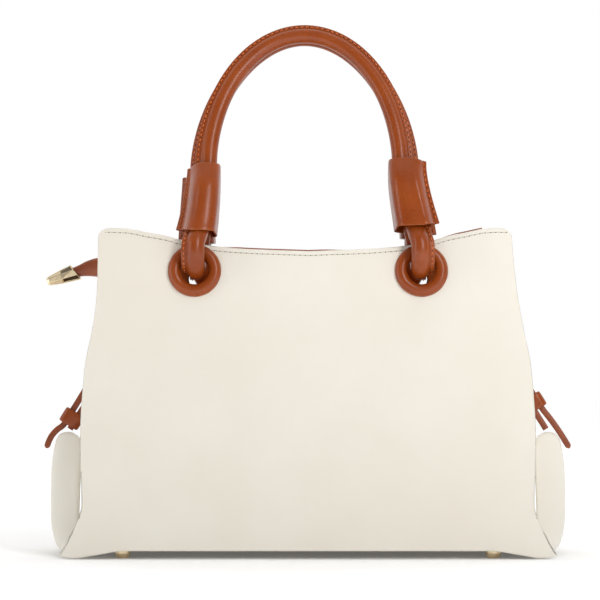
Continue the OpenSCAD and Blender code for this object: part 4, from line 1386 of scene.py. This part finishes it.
        def rim(share: float, tab: float, way: int) -> list[np.ndarray]:
            """Rounds an end of the sleeve, from its outer face to its hollow."""
            return [ring(share, t * 0.85, tab - 0.1, 0.45 * way),
                    ring(share, t * 0.5, tab * 0.9, 0.65 * way),
                    ring(share, t * 0.1, tab * 0.5, 0.45 * way)]

        low, high = self.sleeve_ends
        shares = np.linspace(low, high, 26)
        rings = [ring(s, t, self.sleeve_tab + self.sleeve_flare * (1 - s), 0) for s in shares]
        rings += rim(high, self.sleeve_tab, 1)
        rings += [ring(s, 0, self.gap, 0) for s in shares[::-1]]
        rings += rim(low, self.sleeve_tab + self.sleeve_flare, -1)[::-1]
        return lofted(rings, closed=True)

    def sleeve_seam(self, spread: float, how: Settling) -> tuple[Solid, Solid]:
        """Sews the tab of a front right sleeve on both of its faces.

        Args:
            spread: How much wider than the front handle its arch stands, on each side.
            how: How the sleeve settled.

        Returns:
            The stitches and the needle holes, dark lenses of painted shade.
        """
        out_x = self.loop_tube_r + self.flange_w + 2 * self.gap + self.sleeve_t
        runs = []
        for face in (-1, 1):
            path = []
            for share in np.linspace(*self.tab_seam_ends, 30):
                v = self.sleeve_start + how.up + self.sleeve_l * share
                x = out_x + self.sleeve_tab + self.sleeve_flare * (1 - share) - self.seam_in
                at = how.laid(np.array([[x, face * self.sleeve_t * 1.06]]), share)[0]
                path.append([self.strand_x(v, spread) + at[0], at[1],
                             v + float(self.tab_lift(at[0], share))])
            curve = np.array(path)
            aside = curve + np.array([how.turn * self.seam_slope if face < 0 else 0, face, 0])
            runs.append((self.placed(curve), self.placed(aside) - self.placed(curve)))
        return self.stitching.sew_all(runs)

    def sleeves(self, shop: Workshop, side: Side, spread: float) -> None:
        """Makes the two sleeves of a handle.

        Args:
            shop: The workshop.
            side: The handle's side of the bag.
            spread: How much wider than the front handle its arch stands, on each side.
        """
        name, back = side.name.lower(), side is Side.BACK
        for end, how in zip(End, self.back if back else self.front):
            left, own = end is End.LEFT, f"{name}_{end.name.lower()}_sleeve"
            sleeve, *sewn = (self.swayed(part.mirrored(left, back), back) for part in (
                self.sleeve(spread, how), *self.sleeve_seam(spread, how)))
            shop.piece(f"{own}_leather", sleeve, TAN, f"{name}_handle", "tan_leather", [own])
            shop.sewing(own, sewn, f"{name}_handle", "tan_leather")

    def build(self, shop: Workshop) -> None:
        """Makes both handles with their sleeves."""
        for side, spread in ((Side.FRONT, 0.0), (Side.BACK, self.back_spread)):
            name, back = side.name.lower(), side is Side.BACK
            body = f"{name}_handle"
            roll, rope, *sewn = (self.swayed(part.mirrored(False, back), back) for part in (
                self.rolled(spread), self.rope(spread), *self.seam(spread)))
            shop.piece(f"{name}_rolled_leather", roll, TAN, body, "tan_leather", [body])
            shop.piece(f"{name}_rope_core", rope, LINING_CLOTH, body, "lining_cloth",
                       [f"{name}_handle_core"])
            shop.sewing(f"{name}_flange", sewn, body, "tan_leather")
            self.sleeves(shop, side, spread)


# ---------------------------------------------------------------------------- zip and its tail


@dataclass
class Zip:
    """The recessed zip: leaves, tapes, teeth, slider and pull."""

    zip_z: float = 172.7
    leaf_t: float = 1.6
    leaf_gap: float = 5.6
    left: float = 110.077
    right: float = 98.0769
    seam_in: float = 2
    seams: tuple[float, float] = (2.2, 8.2)
    stitching: Stitching = field(default_factory=Stitching)

    def build(self, shop: Workshop) -> None:
        """Dresses the zip's nodes and sews its leaves."""
        for side in Side:
            name = side.name.lower()
            body = f"{name}_zip_leaf"
            shop.dress(TAN_STRAP, body)
            shop.dress(TAPE_CLOTH, f"{name}_zip_tape")
            shop.dress(GOLD, f"{name}_zip_teeth")
            x = np.linspace(-self.left + self.seam_in, self.right - self.seam_in, 40)
            up = np.tile([0.0, 0.0, 1.0], (len(x), 1))
            runs = [(np.stack([x, np.full(len(x), side.value * (self.leaf_gap + y)),
                               np.full(len(x), self.zip_z + self.leaf_t)], 1), up)
                    for y in self.seams]
            shop.sewing(f"{name}_leaf", self.stitching.sew_all(runs), body, "tan_leather")
        shop.dress(TAN_STRAP, "zip_end_tab")
        shop.dress(GOLD, "zip_chain_ends", "zip_slider", "zip_pull")


@dataclass
class Tail:
    """The zip's left end, drawn together into a strap with a metal cap."""

    zip_z: float = 172.7
    leaf_t: float = 1.6
    start_x: float = 127.477
    slot_x: float = 125.377
    inner_x: float = 110.377
    half_w: float = 13.013
    slot_half_w: float = 5.6
    rise: float = 24.8
    end_x: float = 167.0
    half_t: float = 7.0
    tip_half_w: float = 4.34
    cap_mouth_x: float = 162
    cap_mouth_z: float = 194.58
    cap_l: float = 20
    cap_drop: float = 6.6
    cap_h: float = 12.5
    cap_w: float = 14
    cap_t: float = 1
    cap_slant: float = 0.36
    cap_outer: Table = ((1.0, 0.40), (0.93, 0.54), (0.5, 0.81), (0.0, 1.0))
    cap_inner: Table = ((0.0, 1.0), (0.5, 0.81), (0.82, 0.58))
    seat_ease: float = 0.25
    fold_share: float = 0.32
    fold_from: tuple[float, float] = (0.25, 0.6)
    pane_side: float = 3.5
    pane_area: float = 18
    pane_rim: float = 0.6
    pane_depth: float = 0.55
    edge_r: float = 0.18
    shares: Sequence[tuple[float, float, float, float]] = (
        (0, 0, 0.11, 0), (0.094, 0.057, 0.15, 0.05), (0.17, 0.262, 0.24, 0.13),
        (0.235, 0.565, 0.4, 0.24), (0.332, 0.827, 0.72, 0.38), (0.47, 0.988, 1, 0.55),
        (0.62, 0.964, 0.86, 0.72), (0.785, 0.9, 0.62, 0.88), (1, 0.81, 0.4, 1))

    def seat(self) -> Solid:
        """Makes the flat slotted leather that carries the zip's fixed left end."""
        low, high = self.zip_z, self.zip_z + self.leaf_t
        outer, inner, slot = self.start_x + self.leaf_t, self.inner_x, self.slot_x
        w, s = self.half_w, self.slot_half_w
        outline = [(inner, -w), (outer, -w), (outer, w), (inner, w), (inner, s), (slot, s),
                   (slot, -s), (inner, -s)]
        ease = self.seat_ease
        rings = []
        for z, shrink in ((low, ease), (low + ease, 0), (high - ease, 0), (high, ease)):
            ring = []
            for x, y in outline:
                dx = shrink if x == inner else -shrink
                dy = -shrink * math.copysign(1, y) if abs(y) == w else shrink * math.copysign(1, y)
                ring.append((x + dx, y + dy, z))
            rings.append(np.array(ring))
        solid = lofted(rings)
        return Solid(solid.points * np.array([-1, 1, 1]), solid.faces)

    def strap(self) -> Solid:
        """Makes the strap, folded along its middle as it narrows into the cap."""
        table = np.array(self.shares)
        t = np.linspace(0, 1, 44)
        rise = eased(t, [(r[0], r[1]) for r in table])
        thick = eased(t, [(r[0], r[2]) for r in table]) * self.half_t
        wide = self.half_w + (self.tip_half_w - self.half_w) * eased(
            t, [(r[0], r[3]) for r in table])
        x = self.start_x + (self.end_x - self.start_x) * t
        line = np.stack([x, np.zeros_like(x), self.zip_z + self.leaf_t / 2 + self.rise * rise], 1)
        along = unit(np.gradient(line, axis=0))
        rings = []
        for p, d, a, b, s in zip(line, along, thick, wide, t):
            out = np.cross([0, 1, 0], d)
            q = rounded_bar(float(a), float(b), 36, 0.75)
            fold = self.fold_share * a * float(fade(s, *self.fold_from))
            fold = fold * np.exp(-(q[:, 1] / (0.3 * b))**2)
            q[:, 0] -= np.sign(q[:, 0]) * fold
            rings.append(ring_at(p, q, out, np.array([0, 1, 0])))
        return lofted(rings).mirrored(True, False)

    def cap(self, shop: Workshop) -> None:
        """Makes the faceted cap with its four dark windows."""
        def ring(share: float, scale: float, wall: float) -> np.ndarray:
            """Returns the cap's eight-sided section at a share of its length."""
            along = unit(np.array([self.cap_l, 0, -self.cap_drop]))
            out = np.cross([0, 1, 0], along)
            if share == 0:
                out = out - self.cap_slant * along
            centre = np.array([self.cap_mouth_x + self.cap_l * share, 0,
                               self.cap_mouth_z - self.cap_drop * share])
            a = (np.arange(8) + 0.5) * math.pi / 4
            return centre + np.outer((self.cap_h / 2 * scale - wall) * np.cos(a), out) + np.outer(
                (self.cap_w / 2 * scale - wall) * np.sin(a), [0, 1, 0])

        rings = [ring(s, k, 0) for s, k in self.cap_outer]
        rings += [ring(s, k, self.cap_t) for s, k in self.cap_inner]
        solid = lofted(rings[::-1]).mirrored(True, False)
        solid = Solid(solid.points, [tuple(reversed(f)) for f in solid.faces])
        obj = shop.piece("tail_cap_shell", solid, GOLD, "bag", "pale_gold", ["zip_tail_cap"], True)
        obj.data.materials.append(shop.material(SMOKED_GOLD))
        work = bmesh.new()
        work.from_mesh(obj.data)
        bmesh.ops.recalc_face_normals(work, faces=work.faces)
        panes = []
        for face in work.faces:
            n, mid = face.normal, face.calc_center_median()
            slanted = 0.35 < abs(n.y) < 0.92 and abs(mid.y) > self.pane_side * MM
            if slanted and face.calc_area() > self.pane_area * MM * MM and abs(n.x) < 0.75:
                panes.append(face)
        for face in panes:
            bmesh.ops.inset_individual(work, faces=[face], thickness=self.pane_rim * MM,
                                       depth=-self.pane_depth * MM)
            face.material_index = 1
        edges = [e for e in work.edges if e.is_manifold and e.calc_face_angle(0) > 0.3]
        bmesh.ops.bevel(work, geom=edges, offset=self.edge_r * MM, segments=2, profile=0.6,
                        affect="EDGES", clamp_overlap=True)
        work.to_mesh(obj.data)
        work.free()

    def build(self, shop: Workshop) -> None:
        """Makes the tail and its cap."""
        shop.piece("tail_strap", self.strap(), TAN_STRAP, "bag", "tan_leather", ["zip_tail"])
        shop.piece("tail_seat", self.seat(), TAN_STRAP, "bag", "tan_leather", flat=True)
        self.cap(shop)


# ------------------------------------------------------------------------- tongues and their ties


@dataclass
class Tongues:
    """Padded side tongues that stand up from the ends of the base."""

    root_x: float = 153.3
    out: float = 24.7
    height: float = 84
    half_w: float = 59.2755
    cup: float = 24.5
    back_cup: float = 0.45
    thickness: float = 4.2
    voxel: float = 1.9
    pressure: float = 4.0
    most_move: float = 5.0
    thin_side: float = 0.2
    last_frame: int = 20
    calm_share: float = 0.5
    calm_turns: int = 16
    reach_shares: Table = ((0, 0), (1, 0.35), (2, 0.70), (3, 0.88), (4, 0.98), (5, 1), (6, 1),
                           (7, 0.96), (8, 0.89), (9, 0.77), (10, 0.5))
    height_shares: Table = ((0, 0.055), (1, 0.04), (2, 0.054), (3, 0.143), (4, 0.286), (5, 0.476),
                            (6, 0.655), (7, 0.81), (8, 0.925), (9, 0.985), (10, 1))
    width_shares: Table = ((0, 1), (1, 1), (2, 0.98), (3, 0.90), (4, 0.80), (5, 0.70), (6, 0.60),
                           (7, 0.48), (8, 0.36), (9, 0.27), (10, 0.2))
    cup_shares: Table = ((0, 0), (1, 0.06), (2, 0.28), (3, 0.7), (4, 1), (5, 1), (6, 1),
                         (7, 0.97), (8, 0.86), (9, 0.6), (10, 0.3))

    def sheet(self) -> Solid:
        """Makes the right tongue before it swells."""
        c, i = np.meshgrid(np.linspace(-1, 1, 57), np.linspace(0, 10, 70))
        x = self.root_x + self.out * eased(i, self.reach_shares)
        cup = self.cup * np.where(c > 0, self.back_cup, 1)
        x -= cup * eased(i, self.cup_shares) * np.abs(c)**3
        y = c * self.half_w * eased(i, self.width_shares)
        z = self.height * eased(i, self.height_shares)
        thick = self.thickness * (1 - self.thin_side * np.abs(c)**4)
        return thick_sheet(np.stack([x, y, z], -1), thick, 4)

    def swollen(self, obj: bpy.types.Object) -> None:
        """Swells a tongue with a cloth simulation under light inner pressure.

        Args:
            obj: The tongue, which keeps the simulated and smoothed mesh.
        """
        remesh = obj.modifiers.new("voxels", "REMESH")
        remesh.mode, remesh.voxel_size = "VOXEL", self.voxel * MM
        Workshop.applied(obj)
        start = np.array([v.co for v in obj.data.vertices])
        held = obj.vertex_groups.new(name="held")
        low = [i for i, p in enumerate(start) if abs(p[0]) < (self.root_x + 3) * MM
               or p[2] > (self.height - 4) * MM]
        held.add(low, 1.0, "REPLACE")
        cloth = obj.modifiers.new("cloth", "CLOTH")
        cloth.settings.use_pressure = True
        cloth.settings.uniform_pressure_force = self.pressure
        cloth.settings.effector_weights.gravity = 0
        cloth.settings.vertex_group_mass = "held"
        for number in range(1, self.last_frame + 1):
            bpy.context.scene.frame_set(number)
        graph = bpy.context.evaluated_depsgraph_get()
        moved = np.array([v.co for v in obj.evaluated_get(graph).data.vertices])
        obj.modifiers.clear()
        bpy.context.scene.frame_set(1)
        step = moved - start
        far = np.linalg.norm(step, axis=1, keepdims=True)
        step *= np.minimum(1, self.most_move * MM / np.maximum(far, 1e-9))
        for vertex, place in zip(obj.data.vertices, start + step):
            vertex.co = place
        LOG.info("%s swelled by up to %.1f mm", obj.name,
                 1000 * float(np.linalg.norm(step, axis=1).max()))

    def build(self, shop: Workshop) -> None:
        """Makes both tongues."""
        sheet = self.sheet()
        for end in End:
            name = end.name.lower()
            obj = shop.piece(f"{name}_tongue_leather", sheet.mirrored(end is End.LEFT, False),
                             CREAM, "bag", "cream_leather", [f"{name}_ear"])
            self.swollen(obj)
            calm = obj.modifiers.new("calm", "SMOOTH")
            calm.factor, calm.iterations = self.calm_share, self.calm_turns
            smooth = obj.modifiers.new("smooth", "SUBSURF")
            smooth.levels = smooth.render_levels = 1
            Workshop.applied(obj)
            obj.data.shade_smooth()


@dataclass
class Ties:
    """Laces that tie the tongues up, their sliding beads and their keepers."""

    half_w: float = 2.1
    half_t: float = 1.5
    bead_l: float = 10.5
    bead_t: float = 2.4
    strand_gap: float = 5.4
    gap: float = 0.3
    bead_at: tuple[float, float, float] = (164.372, 0, 92.552)
    bead_lean: float = 32
    right_up: float = 13
    below: float = 1.6
    above: float = 6.4
    bulges: tuple[float, float] = (2.1, 0.7)
    tip_round: float = 2.2
    groove_depth: float = 0.16
    groove_at: float = 0.62
    groove_half_w: float = 0.3
    bead_sides: int = 48
    tip: tuple[float, float] = (182.0, 72.08)
    turn: Sequence[tuple[float, float]] = (
        (148.66, 123.407), (147.491, 124.337), (146.052, 124.736), (144.571, 124.541),
        (143.285, 123.783), (142.396, 122.583), (142.048, 121.131), (142.294, 119.658),
        (143.097, 118.398))

    def strand(self, side: float, up: float) -> tuple[float, float]:
        """Returns the place of a strand beside the left bead's middle, at a height along it."""
        a = math.radians(self.bead_lean)
        out = side * self.strand_gap / 2
        return (self.bead_at[0] + out * math.cos(a) - up * math.sin(a),
                self.bead_at[2] + out * math.sin(a) + up * math.cos(a))

    def line(self, bead_up: float) -> list[tuple[float, float]]:
        """Lists the points of a lace from its tip to the tongue.

        Args:
            bead_up: How far its bead rests up from the tongue.

        Returns:
            The points, in the XZ plane.
        """
        below, above = self.bead_l / 2 + self.below, self.bead_l / 2 + self.above
        top = self.strand(1, bead_up - below)
        tail = []
        for t in (1, 0.75, 0.5, 0.25):
            bulge = self.bulges[0 if bead_up == 0 else 1] * math.sin(math.pi * t)
            dx, dz = self.tip[0] - top[0], self.tip[1] - top[1]
            far = math.hypot(dx, dz)
            tail.append((top[0] + dx * t - bulge * dz / far, top[1] + dz * t + bulge * dx / far))
        bead = [self.strand(1, bead_up + u) for u in (-below, 0, above)]
        inner = [self.strand(-1, bead_up + above), self.strand(-1, bead_up),
                 self.strand(-1, min(0, bead_up - below)), self.strand(-1, -below)]
        return [*tail, *bead, *self.turn, *(inner if bead_up else inner[:2] + inner[3:])]

    def lace(self, bead_up: float) -> Solid:
        """Makes the right lace, from its free tail to the tongue, with its bead that far up."""
        path = smooth_path([(x, 0, z) for x, z in self.line(bead_up)], 6)
        along = unit(np.gradient(path, axis=0))
        rings = []
        for p, d, at in zip(path, along, run_of(path)):
            near = min(at, self.tip_round) / self.tip_round
            tip = math.sqrt(max(1 - (1 - near)**2, 0.12))
            q = rounded_bar(self.half_w * tip, self.half_t * (0.6 + 0.4 * tip), 28, 0.55)
            groove = self.groove_depth * np.exp(
                -((np.abs(q[:, 0]) - self.half_w * self.groove_at) / self.groove_half_w)**2)
            q[:, 1] -= np.sign(q[:, 1]) * groove
            rings.append(ring_at(p, q, np.cross([0, 1, 0], d), np.array([0, 1, 0])))
        return lofted(rings)

    def bead(self, up: float) -> Solid:
        """Makes the right bead, a band of leather round both strands, that far up its lace."""
        hole_l = self.strand_gap / 2 + self.half_w + self.gap
        hole_w = self.half_t + self.gap
        mid_l, mid_w = hole_l + self.bead_t / 2, hole_w + self.bead_t / 2
        straight = mid_l - mid_w
        path = []
        for k in range(self.bead_sides):
            a = 2 * math.pi * (k + 0.5) / self.bead_sides
            c = math.cos(a)
            path.append((math.copysign(straight, c) + mid_w * c, mid_w * math.sin(a), c,
                         math.sin(a)))
        section = rounded_bar(self.bead_t / 2, self.bead_l / 2, 20, 0.45)
        lean = math.radians(-self.bead_lean)
        rings = []
        for x, y, nx, ny in path:
            px = x + section[:, 0] * nx
            py = y + section[:, 0] * ny
            pz = section[:, 1] + up
            rings.append(np.stack([px * math.cos(lean) + pz * math.sin(lean) + self.bead_at[0],
                                   py, -px * math.sin(lean) + pz * math.cos(lean)
                                   + self.bead_at[2]], 1))
        return lofted(rings[::-1], closed=True)

    def build(self, shop: Workshop) -> None:
        """Makes both ties."""
        for end in End:
            name, left = end.name.lower(), end is End.LEFT
            up = 0.0 if left else self.right_up
            shop.piece(f"{name}_lace_leather", self.lace(up).mirrored(left, False), TAN_STRAP,
                       "bag", "tan_leather", [f"{name}_lace"])
            shop.piece(f"{name}_bead_leather", self.bead(up).mirrored(left, False), TAN,
                       f"{name}_bead", "tan_leather", [f"{name}_bead"])
            shop.dress(TAN_STRAP, f"{name}_keeper")


# --------------------------------------------------------------------------------- the studio


@dataclass(frozen=True)
class Lamp:
    """One rectangular soft light, in metres and watts."""

    name: str
    at: tuple[float, float, float]
    aim: tuple[float, float, float]
    size: tuple[float, float]
    power: float
    shines: bool = True

    def hang(self) -> None:
        """Hangs the light, whose shape shows as a highlight only where it shines."""
        data = bpy.data.lights.new(self.name, "AREA")
        data.shape, data.energy = "RECTANGLE", self.power
        data.size, data.size_y = self.size
        obj = bpy.data.objects.new(self.name, data)
        obj.location = self.at
        way = Vector(self.aim) - Vector(self.at)
        obj.rotation_euler = way.to_track_quat("-Z", "Y").to_euler()
        obj.visible_glossy = self.shines
        bpy.context.scene.collection.objects.link(obj)


@dataclass
class StudioSet:
    """Pale floor, soft lights and the camera at the photograph's viewing angle."""

    distance: float = 1.4
    eye_z: float = 0.1055
    lens: float = 120.4
    pitch: float = 2.852
    shift_x: float = -0.0133
    front_sky: float = 0.18
    floor_points: int = 40
    floor_x: tuple[float, float] = (-6000, 6000)
    floor_y: tuple[float, float] = (-4000, 8000)
    lamps: Sequence[Lamp] = (
        Lamp("left_strip", (-1.5, -0.6, 0.5), (0, 0, 0.15), (0.25, 1.2), 5),
        Lamp("key_box", (0.62, -1.08, 0.75), (0.12, 0, 0.15), (0.3, 0.9), 7.9),
        Lamp("top_box", (0, -0.2, 1.7), (0, 0, 0.1), (1.2, 1.0), 8, shines=False))

    def camera(self) -> None:
        """Sets up the camera."""
        data = bpy.data.cameras.new("camera")
        data.lens, data.sensor_width = self.lens, 36
        data.shift_x = self.shift_x
        data.clip_start, data.clip_end = 0.05, 30
        obj = bpy.data.objects.new("camera", data)
        obj.location = (0, -self.distance, self.eye_z)
        obj.rotation_euler = (math.radians(90 + self.pitch), 0, 0)
        bpy.context.scene.collection.objects.link(obj)
        bpy.context.scene.camera = obj

    def floor(self, shop: Workshop) -> None:
        """Lays the pale floor."""
        n = self.floor_points
        x, y = np.meshgrid(np.linspace(*self.floor_x, n), np.linspace(*self.floor_y, n))
        grid = np.stack([x, y, np.zeros_like(x)], -1)
        quads = grid_of(n, n)[1]
        mesh = bpy.data.meshes.new("floor")
        mesh.from_pydata((grid.reshape(-1, 3) * MM).tolist(), [], quads.tolist())
        obj = bpy.data.objects.new("floor", mesh)
        bpy.context.scene.collection.objects.link(obj)
        mesh.materials.append(shop.material(PAPER))

    def sky(self) -> bpy.types.World:
        """Makes a sky that is white behind the bag and dimmer before it."""
        world = bpy.data.worlds.new("studio")
        world.use_nodes = True
        tree = world.node_tree
        place = tree.nodes.new("ShaderNodeTexCoord")
        split = tree.nodes.new("ShaderNodeSeparateXYZ")
        ramp = tree.nodes.new("ShaderNodeMapRange")
        tree.links.new(place.outputs["Generated"], split.inputs[0])
        tree.links.new(split.outputs["Y"], ramp.inputs["Value"])
        for name, value in (("From Min", -0.2), ("From Max", 0.4), ("To Min", self.front_sky),
                            ("To Max", 1.0)):
            ramp.inputs[name].default_value = value
        back = tree.nodes["Background"]
        back.inputs["Color"].default_value = (1, 1, 1, 1)
        tree.links.new(ramp.outputs["Result"], back.inputs["Strength"])
        return world

    def build(self, shop: Workshop) -> None:
        """Sets up the floor, the lights and the sky."""
        scene = bpy.context.scene
        scene.view_settings.view_transform = "Standard"
        scene.world = self.sky()
        self.floor(shop)
        for lamp in self.lamps:
            lamp.hang()


def main() -> None:
    """Builds the studio and every sub-assembly of the bag in order."""
    logging.basicConfig(level=logging.INFO, format="%(name)s: %(message)s")
    shop = Workshop()
    studio = StudioSet()
    studio.camera()
    for assembly in (Panels(), Gussets(), Base(), Lining(), Rings(), Handles(), Zip(), Tail(),
                     Tongues(), Ties()):
        LOG.info("building %s", type(assembly).__name__)
        assembly.build(shop)
    studio.build(shop)


if __name__ == "__main__":
    main()
